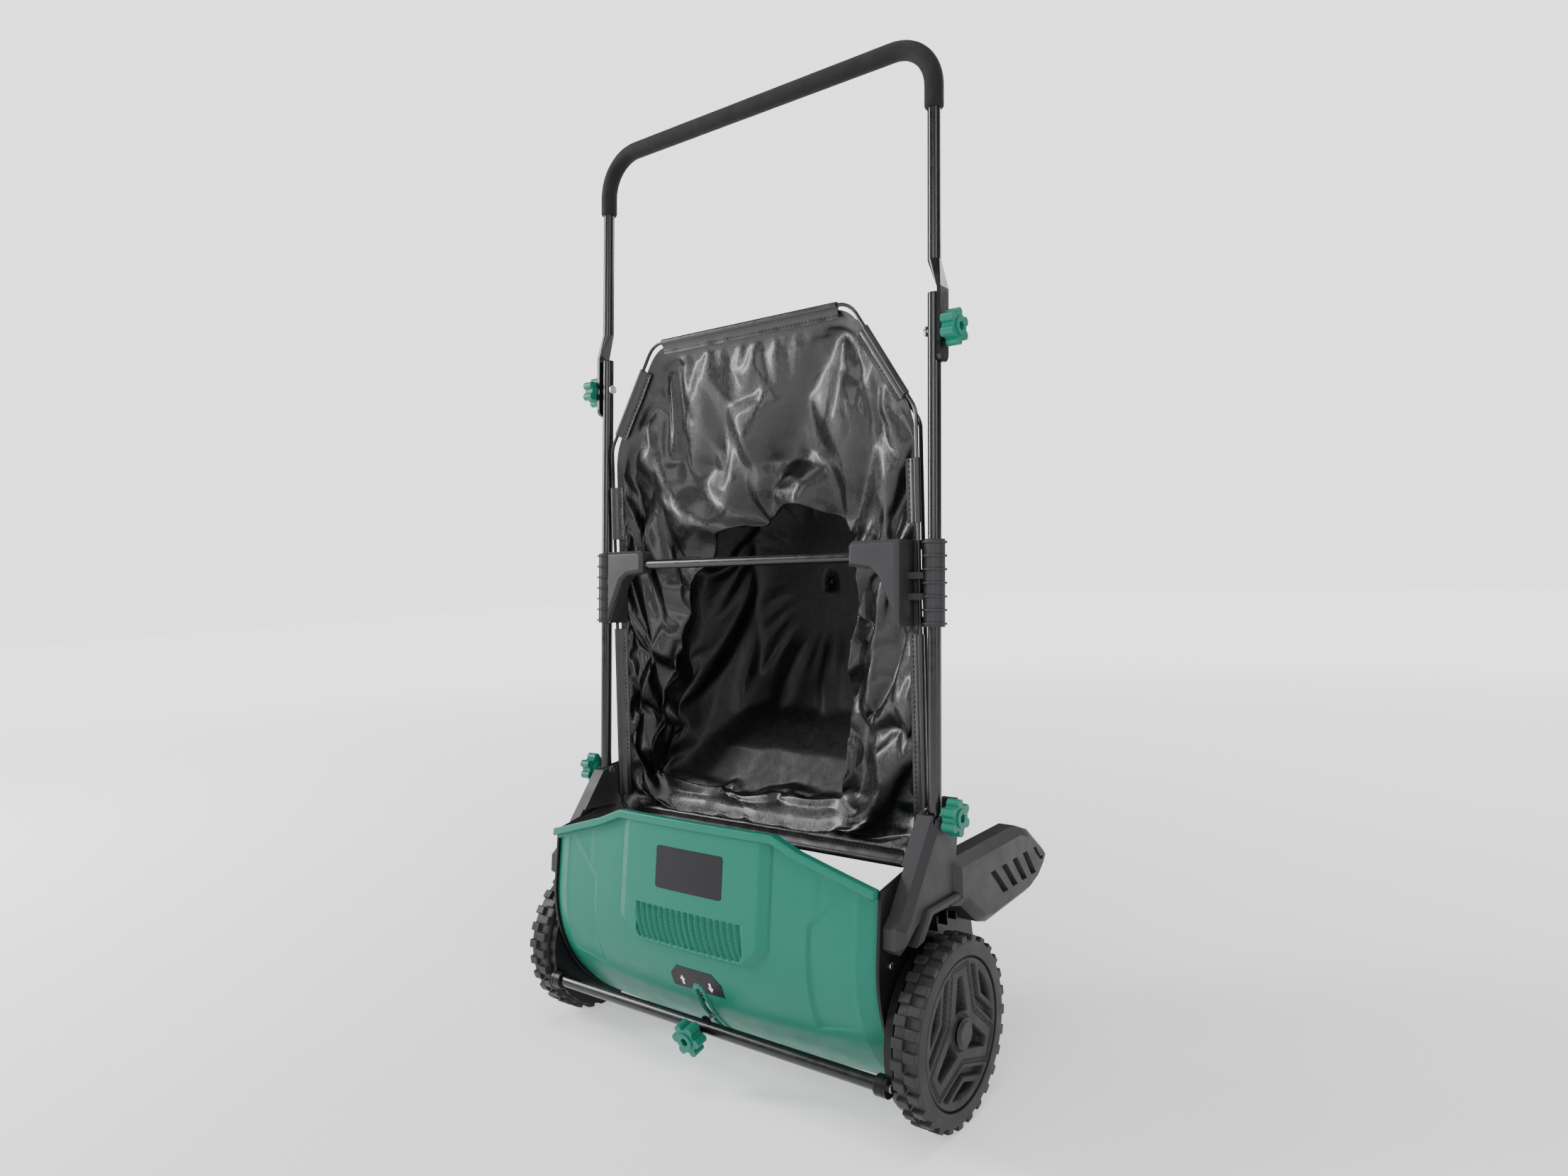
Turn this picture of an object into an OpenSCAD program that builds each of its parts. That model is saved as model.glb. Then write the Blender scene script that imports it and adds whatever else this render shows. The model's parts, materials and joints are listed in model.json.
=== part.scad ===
// Push lawn sweeper: brush housing on two geared wheels, folding handle and collector bag.
// Millimetres. X runs along the wheel axle, -Y is the front, +Z is up.
// The origin is on the floor, under the middle of the wheel axle.

/* [Wheels and drive] */
// Overall wheel diameter over the lugs
wheel_d = 216; // [200:1:224]
// Width of a wheel
wheel_w = 32; // [26:1:34]
// Distance from the middle plane to a wheel's inner face
wheel_in = 284; // [284:1:290]
// Lugs in each of the two staggered rows
lug_count = 28; // [20:2:32]
// Tooth size of the drive, as the gear module
gear_module = 3; // [3:0.25:3]
// Teeth of the internal ring gear in each wheel
ring_teeth = 48; // [48:1:48]
// Teeth of each brush pinion
pinion_teeth = 12; // [12:1:12]
// Brush diameter over the bristles
brush_d = 180; // [160:1:180]

/* [Housing] */
// Half of the cover's width
cover_half = 264; // [264:1:264]
// How far the cover's middle stands in front of the axle
cover_front = 110; // [108:0.5:112]
// Radius of the cover's rolled profile
cover_r = 180; // [176:1:184]
// Height of the centre of that profile
cover_cz = 191; // [188:1:194]
// Radius of the cover's bulge seen from above
plan_r = 2790; // [2500:10:3200]
// Wall of the moulded shells
shell_t = 2.5; // [2:0.1:3]
// How far the middle panel stands proud
panel_t = 5; // [3:0.5:6]

/* [Handle] */
// Diameter of the handle tubes
tube_d = 16; // [16:0.5:16]
// Wall of the handle tubes
tube_wall = 1.2; // [1:0.1:1.5]
// Distance from the middle plane to a handle tube's axis
tube_x = 278; // [278:1:278]
// Lean of the handle at rest, in degrees
lean = 3.93; // [0:0.1:6]
// Length of the lower tubes above their pivot
lower_len = 610; // [605:1:615]
// Height along the tube of the folding joint
fold_s = 567; // [565:1:570]
// Height along the tube of the top bar
top_s = 915.7; // [880:1:960]
// Radius of the two top bends
bend_r = 57; // [50:1:65]
// Outer diameter of the foam grip
foam_d = 23.4; // [22:0.2:26]

/* [Bag] */
// Half width of the mouth frame
mouth_half = 258; // [258:0.5:258]
// Diameter of the frame rod
rod_d = 5; // [4:0.5:5]
// Depth of the folded bag behind its mouth
bag_depth = 190; // [150:5:200]
// Thickness of the bag's cloth solid
cloth_t = 2; // [1.5:0.5:3]

/* [Hidden] */

green = [0.18, 0.50, 0.43];
grey = [0.27, 0.27, 0.28];
black = [0.08, 0.08, 0.09];
steel = [0.72, 0.73, 0.75];

wheel_r = wheel_d / 2;
wheel_out = wheel_in + wheel_w;
brush_y = gear_module * (ring_teeth - pinion_teeth) / 2;
brush_z = wheel_r;
shaft_r = 5;
axle_r = 6;
bush_r = 9;
bolt_r = 3;
run_gap = 0.05;

// Cover profile: an arc that runs on as a straight line above tangent_a
tangent_a = 7.7;
lip_a = 65.7;
cover_top = 331.6;
shoulder_z = 316.8;
corner_z = 288;
plan_cy = plan_r - cover_front;
arc_cr = plan_r - cover_r;
sweep_half = 6.1;

// Side plates stand against the cover's ends
plate_x = cover_half;
plate_t = 4;
end_cy = plan_cy - sqrt(plan_r * plan_r - cover_half * cover_half) + cover_r;
swing_x = 271;
swing_t = 4;
disc_r = 98;

// Crossbar and its bolt, which points away from the brush axis
bar_y = -93.2;
bar_z = 74;
bar_dist = norm([bar_y - brush_y, bar_z - brush_z]);
bar_a = 90 + atan2(brush_z - bar_z, brush_y - bar_y);

// Handle pivot in the brackets
pivot_y = 19.5;
pivot_z = 349;
tube_r = tube_d / 2;
flat_t = 5;
flat_x = tube_x + tube_r + 0.6;
knob_t = 22;

// Mouth frame of the bag, on its own plane through the clamps
bag_y = 38;
bag_z = 620;
bag_lean = 1.35;
rod_r = rod_d / 2;
low_t = -340;
side_t = 205;
top_t = 345;
top_half = 168;
frame_bend = 30;

// ---------- helpers ----------

// Left-hand copies are mirror images
module sided(side) {
    if (side < 0) mirror([1, 0, 0]) children();
    else children();
}

// A rod along X
module rod_x(r, x0, x1) {
    translate([x0, 0, 0]) rotate([0, 90, 0]) cylinder(r = r, h = x1 - x0, $fn = 64);
}

// A (Y, Z) outline pushed along X
module slab_x(x0, x1) {
    translate([x0, 0, 0]) rotate([90, 0, 90]) linear_extrude(x1 - x0) children();
}

// An (X, Z) outline pushed along Y through the whole object
module slab_y(y0, y1) {
    translate([0, y1, 0]) rotate([90, 0, 0]) linear_extrude(y1 - y0) children();
}

// Handle frame: Z along the tubes from the pivot, Y square to them
module in_handle() {
    translate([0, pivot_y, pivot_z]) rotate([-lean, 0, 0]) children();
}

// Bag frame: Z up the mouth from the clamps, Y into the bag
module in_bag() {
    translate([0, bag_y, bag_z]) rotate([-bag_lean, 0, 0]) children();
}

// Z points from the brush axis through the crossbar
module in_swing() {
    translate([0, brush_y, brush_z]) rotate([bar_a, 0, 0]) children();
}

function unit(v) = v / norm(v);
function left_of(v) = [-v[1], v[0]];

// A counter-clockwise outline moved inwards by d
function inset(p, d) = let (n = len(p)) [
    for (i = [0:n - 1])
        let (
            a = left_of(unit(p[i] - p[(i + n - 1) % n])),
            b = left_of(unit(p[(i + 1) % n] - p[i]))
        )
        p[i] + (a + b) * d / (1 + a * b)
];

// Closed round rod of radius r through counter-clockwise (X, Z) corners, each bent to radius b
module rod_loop(points, r, b) {
    n = len(points);
    steps = 4;
    sides = 12;
    rings = n * (steps + 1);
    function along(i) = unit(points[(i + 1) % n] - points[i % n]);
    // [centre of the bend, outward direction] at step j of corner i
    function station(i, j) =
        let (
            u = along(i + n - 1),
            turn = acos(u * along(i)),
            a = turn * j / steps
        )
        [
            points[i] - u * b * tan(turn / 2) + left_of(u) * b,
            u * sin(a) - left_of(u) * cos(a)
        ];
    polyhedron(
        points = [
            for (i = [0:n - 1], j = [0:steps], k = [0:sides - 1])
                let (
                    at = station(i, j),
                    phi = k * 360 / sides,
                    p = at[0] + at[1] * (b + r * cos(phi))
                )
                [p[0], r * sin(phi), p[1]]
        ],
        faces = [
            for (s = [0:rings - 1], k = [0:sides - 1])
                let (
                    t = (s + 1) % rings,
                    m = (k + 1) % sides
                )
                [s * sides + k, t * sides + k, t * sides + m, s * sides + m]
        ]
    );
}

// ---------- front cover ----------

// Profile in (radius, Z), grown outwards by g
module cover_region(g) {
    translate([arc_cr, cover_cz]) {
        circle(r = cover_r + g, $fn = 180);
        rotate(tangent_a) square([cover_r + g, 140]);
    }
}

// Skin between two growths, kept from the bottom lip to the top
module cover_skin(g0, g1) {
    intersection() {
        difference() {
            cover_region(g1);
            cover_region(g0);
        }
        translate([arc_cr, cover_cz])
            polygon([
                [0, 0],
                [600 * cos(lip_a), -600 * sin(lip_a)],
                [600, 0],
                [600, 200],
                [40, 200]
            ]);
    }
}

module barrel(g0, g1) {
    translate([0, plan_cy, 0])
        rotate([0, 0, -90 - sweep_half])
            rotate_extrude(angle = 2 * sweep_half, $fn = 720)
                cover_skin(g0, g1);
}

// Front view of the cover below its top edge, lowered by d
module cover_front_view(d) {
    polygon([
        [-cover_half, 0], [cover_half, 0],
        [cover_half, corner_z - d], [164, shoulder_z - d], [126.6, cover_top - d],
        [-126.6, cover_top - d], [-164, shoulder_z - d], [-cover_half, corner_z - d]
    ]);
}

module panel_view() {
    polygon([[-123, 400], [-123, 198], [-94, 172], [94, 172], [123, 198], [123, 400]]);
}

// Slot for the height bolt, of half width w, from the bottom lip to the arch
module slot_view(w, arch_z) {
    translate([-w, 60]) square([2 * w, arch_z - 60]);
    translate([0, arch_z]) circle(r = w, $fn = 48);
}

module front_cover() {
    color(green)
    difference() {
        intersection() {
            union() {
                barrel(-shell_t, 0);
                intersection() {
                    barrel(-0.5, panel_t);
                    slab_y(-200, 0) panel_view();
                }
                intersection() {
                    barrel(-0.5, 10);
                    slab_y(-200, 0) difference() {
                        cover_front_view(0);
                        cover_front_view(10);
                    }
                }
                intersection() {
                    barrel(-0.5, 2);
                    slab_y(-200, 40) slot_view(10.5, 119);
                }
            }
            slab_y(-200, 100) cover_front_view(0);
        }
        intersection() {
            barrel(1, panel_t + 1);
            slab_y(-200, 0) translate([-88, 178]) square([176, 44]);
        }
        slab_y(-200, 40) slot_view(4.5, 119);
    }
}

module label_plate() {
    color(black)
    intersection() {
        barrel(panel_t, panel_t + 0.8);
        slab_y(-200, 0) translate([-55, 245]) square([110, 52]);
    }
}

module height_scale_plate() {
    color(black)
    intersection() {
        barrel(0, 0.8);
        slab_y(-200, 0) difference() {
            polygon([[-42, 119], [42, 119], [42, 136], [29, 149], [-29, 149], [-42, 136]]);
            slot_view(11, 119);
        }
    }
}

// ---------- housing sides ----------

module side_outline() {
    difference() {
        intersection() {
            union() {
                translate([end_cy, cover_cz]) circle(r = cover_r - 0.5, $fn = 180);
                translate([end_cy, cover_cz]) rotate(180 - tangent_a)
                    translate([0, -100]) square([cover_r - 0.5, 100]);
                translate([60, -1]) square([120, 120]);
            }
            polygon([
                [-120, 10], [8, 22], [96, 14], [112, 0], [150, 0], [166, 16], [160, 60],
                [154, 110], [122, 176], [114, 228], [50, 232], [26, 296], [-10, 300], [-120, 280]
            ]);
        }
        translate([brush_y, brush_z]) circle(r = bush_r, $fn = 64);
    }
}

module side_plate(side) {
    color(black)
    sided(side) {
        slab_x(plate_x, plate_x + plate_t) side_outline();
        translate([plate_x - 12, 116, 0]) cube([16, 36, 8]);
        for (rib = [[14, 231], [38, 231], [60, 222]])
            translate([plate_x + plate_t - 1, rib[0], 213]) cube([12, 2.5, rib[1] - 213]);
    }
}
module side_plate_left() { side_plate(-1); }
module side_plate_right() { side_plate(1); }

// Guide sheet that leads the sweepings up behind the brush
module rear_ramp() {
    ramp_in = brush_d / 2 + 5;
    color(black)
    slab_x(-plate_x + 0.2, plate_x - 0.2)
        translate([brush_y, brush_z])
            intersection() {
                difference() {
                    circle(r = ramp_in + shell_t, $fn = 128);
                    circle(r = ramp_in, $fn = 128);
                }
                polygon([[0, 0], [110, -176], [200, -176], [200, 10], [0, 0.5]]);
            }
}

socket_outline = [
    [-77.6, 216.3], [-50.6, 233.5], [-31, 240], [40, 237], [51, 296],
    [60, 340], [66, 360], [20, 355], [2, 351.6], [-37, 302], [-71, 258], [-85, 246.6], [-87.3, 224]
];
foot_outline = [
    [-77.6, 216.3], [-50.6, 233.5], [-31, 240], [40, 237], [51, 296],
    [-41.7, 296], [-71, 258], [-85, 246.6], [-87.3, 224]
];
arm_outline = [
    [52, 234], [94, 202], [116, 195.4], [228, 199.8], [257, 208.6], [277, 222.7],
    [292.5, 242], [242.6, 280.6], [204, 295], [30, 295], [30, 240]
];
pocket_outline = [
    [-5, 324], [30, 324], [50, 338], [59, 352], [61.5, 372], [9, 372], [8, 358], [0.5, 345]
];

// Moulded bracket: a foot on the side plate, a socket for the handle and a rear arm
module bracket(side) {
    face_x = plate_x + plate_t;
    arm_x = 300;
    socket_x = 292;
    color(grey)
    sided(side)
    difference() {
        union() {
            slab_x(face_x, socket_x) polygon(socket_outline);
            slab_x(plate_x, face_x + 0.5) intersection() {
                polygon(socket_outline);
                translate([-100, 301]) square([200, 100]);
            }
            slab_x(face_x, arm_x - 2) polygon(foot_outline);
            slab_x(face_x, arm_x) polygon(arm_outline);
        }
        slab_x(face_x - 1, socket_x - 3) polygon(inset(foot_outline, 4));
        slab_x(face_x - 1, arm_x - 4) polygon(inset(arm_outline, 4));
        slab_x(plate_x + 5, socket_x - 4.5) polygon(pocket_outline);
        for (i = [0:3])
            slab_x(arm_x - 5, arm_x + 1)
                polygon([
                    [112 + 32 * i, 258], [121 + 32 * i, 258], [157 + 28 * i, 227], [148 + 28 * i, 227]
                ]);
        translate([0, pivot_y, pivot_z]) rod_x(bolt_r + run_gap, plate_x - 1, arm_x + 1);
        translate([0, pivot_y, pivot_z]) rod_x(6.2, plate_x - 1, plate_x + 3);
    }
}
module bracket_left() { bracket(-1); }
module bracket_right() { bracket(1); }

module pivot_bolt(side) {
    color(steel)
    sided(side)
    translate([0, pivot_y, pivot_z]) {
        rod_x(bolt_r, plate_x + 1, 308);
        rod_x(6, plate_x + 0.6, plate_x + 2.9);
    }
}
module pivot_bolt_left() { pivot_bolt(-1); }
module pivot_bolt_right() { pivot_bolt(1); }

// Bush in the side plate: the shaft runs in it and the swing plate turns on it
module brush_bush(side) {
    color(steel)
    sided(side)
    translate([0, brush_y, brush_z])
    difference() {
        union() {
            rod_x(bush_r, plate_x - 2, swing_x + swing_t + 1);
            rod_x(bush_r + 4, plate_x - 4, plate_x);
        }
        rod_x(shaft_r + run_gap, plate_x - 5, swing_x + swing_t + 2);
    }
}
module brush_bush_left() { brush_bush(-1); }
module brush_bush_right() { brush_bush(1); }

module cover_screws() {
    color(steel)
    for (side = [-1, 1])
        sided(side)
            for (p = [[-76, 150], [-72, 200], [-30, 92]])
                translate([0, p[0], p[1]]) rod_x(4, plate_x + plate_t, plate_x + plate_t + 1.8);
}

// ---------- swing frame that sets the brush height ----------

module swing_plate(side) {
    color(black)
    sided(side)
    difference() {
        union() {
            translate([0, 0, wheel_r]) rod_x(disc_r, swing_x, swing_x + swing_t);
            difference() {
                translate([0, 0, wheel_r]) rod_x(disc_r, swing_x, swing_x + swing_t + 6);
                translate([0, 0, wheel_r]) rod_x(disc_r - 2.5, swing_x - 1, swing_x + swing_t + 7);
            }
            translate([0, bar_y, bar_z]) rod_x(12, swing_x, swing_x + swing_t);
            in_swing() translate([swing_x, -11, 100]) cube([swing_t, 22, bar_dist - 100]);
        }
        translate([0, brush_y, brush_z]) rod_x(bush_r + run_gap, swing_x - 1, swing_x + swing_t + 1);
        translate([0, 0, wheel_r]) rod_x(axle_r, swing_x - 1, swing_x + swing_t + 1);
        translate([0, bar_y, bar_z]) {
            rod_x(2.6, swing_x - 1, swing_x + swing_t + 1);
            rod_x(6, swing_x + swing_t, swing_x + swing_t + 7);
        }
    }
}
module swing_plate_left() { swing_plate(-1); }
module swing_plate_right() { swing_plate(1); }

module stub_axle(side) {
    color(steel)
    sided(side)
    translate([0, 0, wheel_r]) {
        rod_x(axle_r, swing_x, wheel_out - 2);
        rod_x(axle_r + 4, swing_x + swing_t, swing_x + swing_t + 3);
    }
}
module stub_axle_left() { stub_axle(-1); }
module stub_axle_right() { stub_axle(1); }

module crossbar() {
    color(black)
    difference() {
        translate([0, bar_y, bar_z])
        difference() {
            rod_x(tube_r, -259, 259);
            rod_x(tube_r - tube_wall, -260, 260);
        }
        in_swing() translate([0, 0, 120]) cylinder(r = bolt_r + run_gap, h = 60, $fn = 48);
    }
}

module end_boss(side) {
    color(black)
    sided(side)
    translate([0, bar_y, bar_z])
    difference() {
        union() {
            rod_x(12, 259, swing_x);
            rod_x(tube_r - tube_wall - 0.1, 248, 259);
        }
        rod_x(2.6, 247, swing_x + 1);
    }
}
module end_boss_left() { end_boss(-1); }
module end_boss_right() { end_boss(1); }

module boss_screws() {
    color(steel)
    for (side = [-1, 1])
        sided(side)
            translate([0, bar_y, bar_z]) {
                rod_x(2.5, 252, swing_x + swing_t);
                rod_x(5, swing_x + swing_t, swing_x + swing_t + 3);
            }
}

module height_bolt() {
    color(steel)
    in_swing() {
        translate([0, 0, 119]) cylinder(r = bolt_r, h = bar_dist + 26 - 119, $fn = 48);
        translate([0, 0, 117]) cylinder(r = 8, h = 3, $fn = 48);
    }
}

module height_washers() {
    color(black)
    in_swing()
    difference() {
        union() {
            translate([0, 0, bar_dist - tube_r - 1.8]) cylinder(r = 8, h = 1.6, $fn = 48);
            translate([0, 0, bar_dist + tube_r + 0.2]) cylinder(r = 7.5, h = 4, $fn = 48);
        }
        translate([0, 0, 130]) cylinder(r = bolt_r + run_gap, h = 50, $fn = 48);
    }
}

// ---------- wheels and gears ----------

// One spoke window, between radii r0 and r1, a degrees to each side of the middle
module window(r0, r1, a) {
    polygon([
        for (i = [-4:4]) r1 * [cos(a * i / 4), sin(a * i / 4)],
        r0 * [cos(a * 0.55), sin(a * 0.55)],
        (r0 + 14) * [1, 0],
        r0 * [cos(a * 0.55), -sin(a * 0.55)]
    ]);
}

module wheel(side) {
    tread_r = wheel_r - 5;
    rim_r = 89;
    hub_r = 18;
    lug_w = 13;
    color(grey)
    sided(side)
    translate([wheel_in, 0, wheel_r])
    rotate([0, 90, 0])
    difference() {
        union() {
            difference() {
                cylinder(r = tread_r, h = wheel_w, $fn = 120);
                translate([0, 0, -1]) cylinder(r = rim_r, h = wheel_w + 2, $fn = 120);
            }
            translate([0, 0, 14]) cylinder(r = rim_r + 1, h = 10, $fn = 120);
            translate([0, 0, 2]) cylinder(r = hub_r, h = wheel_w - 2, $fn = 64);
            for (row = [0, 1], i = [0:lug_count - 1])
                rotate([0, 0, (i + row / 2) * 360 / lug_count])
                    translate([tread_r - 2, -lug_w / 2, row * (wheel_w / 2 + 1)])
                        cube([7, lug_w, wheel_w / 2 - 1]);
        }
        translate([0, 0, -1]) cylinder(r = 8, h = wheel_w + 2, $fn = 64);
        for (i = [0:2])
            rotate([0, 0, 120 * i]) {
                translate([0, 0, 19]) linear_extrude(10) window(56, 80, 34);
                translate([0, 0, 10]) linear_extrude(20)
                    polygon([[34, -7], [46, -16], [46, -9], [41, 0], [46, 9], [46, 16], [34, 7]]);
            }
    }
}
module wheel_left() { wheel(-1); }
module wheel_right() { wheel(1); }

// Tooth outline: half of each pitch is tooth, less the play, tapering to the tip
module gear_outline(teeth, tip, root, play) {
    pitch_a = 360 / teeth;
    polygon([
        for (i = [0:teeth - 1], k = [0:3])
            let (
                at_tip = k == 1 || k == 2,
                half = pitch_a * (at_tip ? 0.135 : 0.345) - play,
                a = i * pitch_a + (k < 2 ? -half : half)
            )
            (at_tip ? tip : root) * [cos(a), sin(a)]
    ]);
}

module ring_gear(side) {
    pitch_r = gear_module * ring_teeth / 2;
    color(steel)
    sided(side)
    translate([wheel_in + 1, 0, wheel_r])
    rotate([0, 90, 0])
    linear_extrude(10)
    difference() {
        circle(r = 88.9, $fn = 120);
        gear_outline(ring_teeth, pitch_r + 3.6, pitch_r - 2.4, -0.35);
    }
}
module ring_gear_left() { ring_gear(-1); }
module ring_gear_right() { ring_gear(1); }

module pinion(side) {
    pitch_r = gear_module * pinion_teeth / 2;
    color(steel)
    sided(side)
    translate([swing_x + swing_t + 4, brush_y, brush_z])
    rotate([0, 90, 0])
    difference() {
        linear_extrude(14) gear_outline(pinion_teeth, pitch_r + 2.4, pitch_r - 3.2, 1.1);
        translate([0, 0, -1]) cylinder(r = shaft_r + run_gap, h = 16, $fn = 48);
    }
}
module pinion_left() { pinion(-1); }
module pinion_right() { pinion(1); }

module wheel_bush(side) {
    color(steel)
    sided(side)
    translate([0, 0, wheel_r])
    difference() {
        rod_x(8, wheel_in + 2, wheel_out - 1);
        rod_x(axle_r + run_gap, wheel_in, wheel_out);
    }
}
module wheel_bush_left() { wheel_bush(-1); }
module wheel_bush_right() { wheel_bush(1); }

module hub_cap(side) {
    color(grey)
    sided(side)
    translate([0, 0, wheel_r]) {
        rod_x(17.5, wheel_out, wheel_out + 2.5);
        rod_x(14, wheel_out + 2.5, wheel_out + 4.5);
    }
}
module hub_cap_left() { hub_cap(-1); }
module hub_cap_right() { hub_cap(1); }

// ---------- brush ----------

module brush_shaft() {
    color(steel)
    translate([0, brush_y, brush_z]) rod_x(shaft_r, -293.5, 293.5);
}

module brush_core() {
    color(black)
    translate([0, brush_y, brush_z])
    difference() {
        union() {
            rod_x(20, -250, 250);
            for (x = [-250, 246]) rod_x_at(x, 30);
        }
        rod_x(shaft_r, -251, 251);
    }
}
module rod_x_at(x, r) { rod_x(r, x, x + 4); }

module bristles() {
    color([0.05, 0.05, 0.05])
    translate([0, brush_y, brush_z])
    for (i = [0:5])
        rotate([60 * i, 0, 0])
            translate([-244, -4, 20.3]) cube([488, 8, brush_d / 2 - 20.3]);
}

// ---------- lower handle ----------

module lower_tube(side) {
    color(black)
    sided(side)
    in_handle()
    difference() {
        translate([tube_x, 0, -16]) cylinder(r = tube_r, h = lower_len + 16, $fn = 64);
        translate([tube_x, 0, -17]) cylinder(r = tube_r - tube_wall, h = lower_len + 18, $fn = 64);
        rod_x(bolt_r + run_gap, tube_x - 10, tube_x + 10);
        translate([0, 0, fold_s]) rod_x(bolt_r + run_gap, tube_x - 10, tube_x + 10);
    }
}
module lower_tube_left() { lower_tube(-1); }
module lower_tube_right() { lower_tube(1); }

module tube_caps() {
    color(black)
    for (side = [-1, 1])
        sided(side)
            in_handle()
                translate([tube_x, 0, lower_len - 12]) {
                    cylinder(r = tube_r - tube_wall - 0.1, h = 12, $fn = 48);
                    translate([0, 0, 12]) cylinder(r = tube_r, h = 1.6, $fn = 48);
                }
}

// Ribbed sleeve on the tube, slotted plate for the bag rods and gusset for the cross tube
module clamp(side) {
    low = 218.5;
    high = 321.6;
    rib_gap = 15.9;
    color(grey)
    sided(side)
    in_handle()
    difference() {
        union() {
            translate([tube_x, 0, low]) cylinder(r = 12.5, h = high - low, $fn = 64);
            for (i = [0:6])
                translate([tube_x, 0, low + 3 + rib_gap * i]) cylinder(r = 14, h = 2, $fn = 64);
            translate([244, 6, low]) cube([24, 3, high - low]);
            for (s = [250, 275])
                translate([244, -9, s]) cube([24, 4, 8]);
            translate([243, -26, low]) cube([4, 35, high - low]);
            translate([0, -10, 0]) rotate([90, 0, 0]) linear_extrude(16)
                polygon([
                    [243.5, low], [247, low], [247, high], [180, high], [175, high - 5],
                    [175, 291], [206, 287], [217, 279]
                ]);
        }
        translate([tube_x, 0, low - 1]) cylinder(r = tube_r + run_gap, h = high - low + 2, $fn = 64);
        translate([0, -19, 302.2]) rod_x(6.6, 174, 190);
        for (s = [low + 12, low + 68])
            translate([254, 5, s]) cube([7, 5, 24]);
    }
}
module clamp_left() { clamp(-1); }
module clamp_right() { clamp(1); }

module cross_tube() {
    color(black)
    in_handle()
    translate([0, -19, 302.2])
    difference() {
        rod_x(6.5, -189, 189);
        rod_x(5.5, -190, 190);
    }
}

module fold_bolt(side) {
    color(steel)
    sided(side)
    in_handle()
    translate([0, 0, fold_s]) {
        rod_x(bolt_r, tube_x - tube_r - 1, 308);
        rod_x(6.5, tube_x - tube_r - 3.5, tube_x - tube_r - 0.5);
    }
}
module fold_bolt_left() { fold_bolt(-1); }
module fold_bolt_right() { fold_bolt(1); }

// ---------- bag ----------

function mouth_path(half, low, side, top, top_w) = [
    [half, low], [half, side], [top_w, top], [-top_w, top], [-half, side], [-half, low]
];

// Height of the mouth's sloped side at x
function slope_t(x) = side_t + (mouth_half - x) * (top_t - side_t) / (mouth_half - top_half);

module bag_front_frame() {
    color(black)
    in_bag()
    rod_loop(mouth_path(mouth_half, low_t, side_t, top_t, top_half), rod_r, frame_bend);
}

module bag_rear_frame() {
    color(black)
    in_bag()
    translate([0, 14.5, 0])
        rod_loop(
            mouth_path(mouth_half - 2, low_t + 12, side_t - 14, top_t - 14, top_half - 2),
            rod_r, frame_bend
        );
}

// Eight corners of a slice of the bag at depth y
function bag_ring(y, half, low, side, top, top_w) = [
    [half - 14, y, low], [half, y, low + 14], [half, y, side], [top_w, y, top],
    [-top_w, y, top], [-half, y, side], [-half, y, low + 14], [-half + 14, y, low]
];

// Mouth, throat and back of the folded bag, smaller by d all round
function bag_slices(d) = [
    bag_ring(19, 249 - d, -320 + d, 180 - d, 322 - d, 158 - d),
    bag_ring(80, 205 - d, -235 + d, 110 - d, 240 - d, 110 - d),
    bag_ring(bag_depth - d, 138 - d, -150 + d, 60 - d, 190 - d, 70 - d)
];

// Open-fronted shell: three outer slices going back, three inner ones coming forward
module bag() {
    outer = bag_slices(0);
    inner = bag_slices(cloth_t);
    rings = [outer[0], outer[1], outer[2], inner[2], inner[1], inner[0]];
    n = 8;
    color([0.1, 0.1, 0.1])
    in_bag()
    polyhedron(
        points = [for (ring = rings, p = ring) p],
        faces = [
            for (r = [0, 1, 3, 4, 5], i = [0:n - 1])
                let (s = (r + 1) % 6, j = (i + 1) % n)
                    [r * n + i, r * n + j, s * n + j, s * n + i],
            [for (i = [0:n - 1]) 2 * n + i],
            [for (i = [n - 1:-1:0]) 3 * n + i]
        ]
    );
}

// Sewn sleeves around the front frame's rods
module hem_piece(p, q) {
    d = q - p;
    translate([p[0], 0, p[1]])
    rotate([0, atan2(d[0], d[1]), 0])
    difference() {
        union() {
            cylinder(r = 4.4, h = norm(d), $fn = 32);
            translate([0, 2.6, 0]) cube([17, 1.6, norm(d)]);
        }
        translate([0, 0, -1]) cylinder(r = rod_r + run_gap, h = norm(d) + 2, $fn = 32);
    }
}

module bag_hem() {
    color([0.13, 0.13, 0.13])
    in_bag() {
        hem_piece([-150, top_t], [150, top_t]);
        hem_piece([226, low_t], [-226, low_t]);
        for (side = [-1, 1])
            sided(side) {
                hem_piece([mouth_half, 147], [mouth_half, 70]);
                hem_piece([mouth_half, -62], [mouth_half, -308]);
                hem_piece([190, slope_t(190)], [246, slope_t(246)]);
            }
    }
}

// ---------- upper handle ----------

// The U of the top bar, its bends and legs, as a ring between two radii
module handle_u(r_in, r_out, leg_s) {
    reach = tube_x - bend_r;
    for (side = [-1, 1])
        sided(side) {
            translate([tube_x, 0, leg_s])
                ring_tube(r_in, r_out, top_s - bend_r - leg_s);
            translate([reach, 0, top_s - bend_r])
                rotate([90, 0, 0])
                    rotate_extrude(angle = 90, $fn = 128)
                        translate([bend_r, 0]) difference() {
                            circle(r = r_out, $fn = 64);
                            circle(r = r_in, $fn = 64);
                        }
        }
    translate([-reach, 0, top_s]) rotate([0, 90, 0]) ring_tube(r_in, r_out, 2 * reach);
}

module ring_tube(r_in, r_out, h) {
    difference() {
        cylinder(r = r_out, h = h, $fn = 64);
        translate([0, 0, -0.01]) cylinder(r = r_in, h = h + 0.02, $fn = 64);
    }
}

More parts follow.
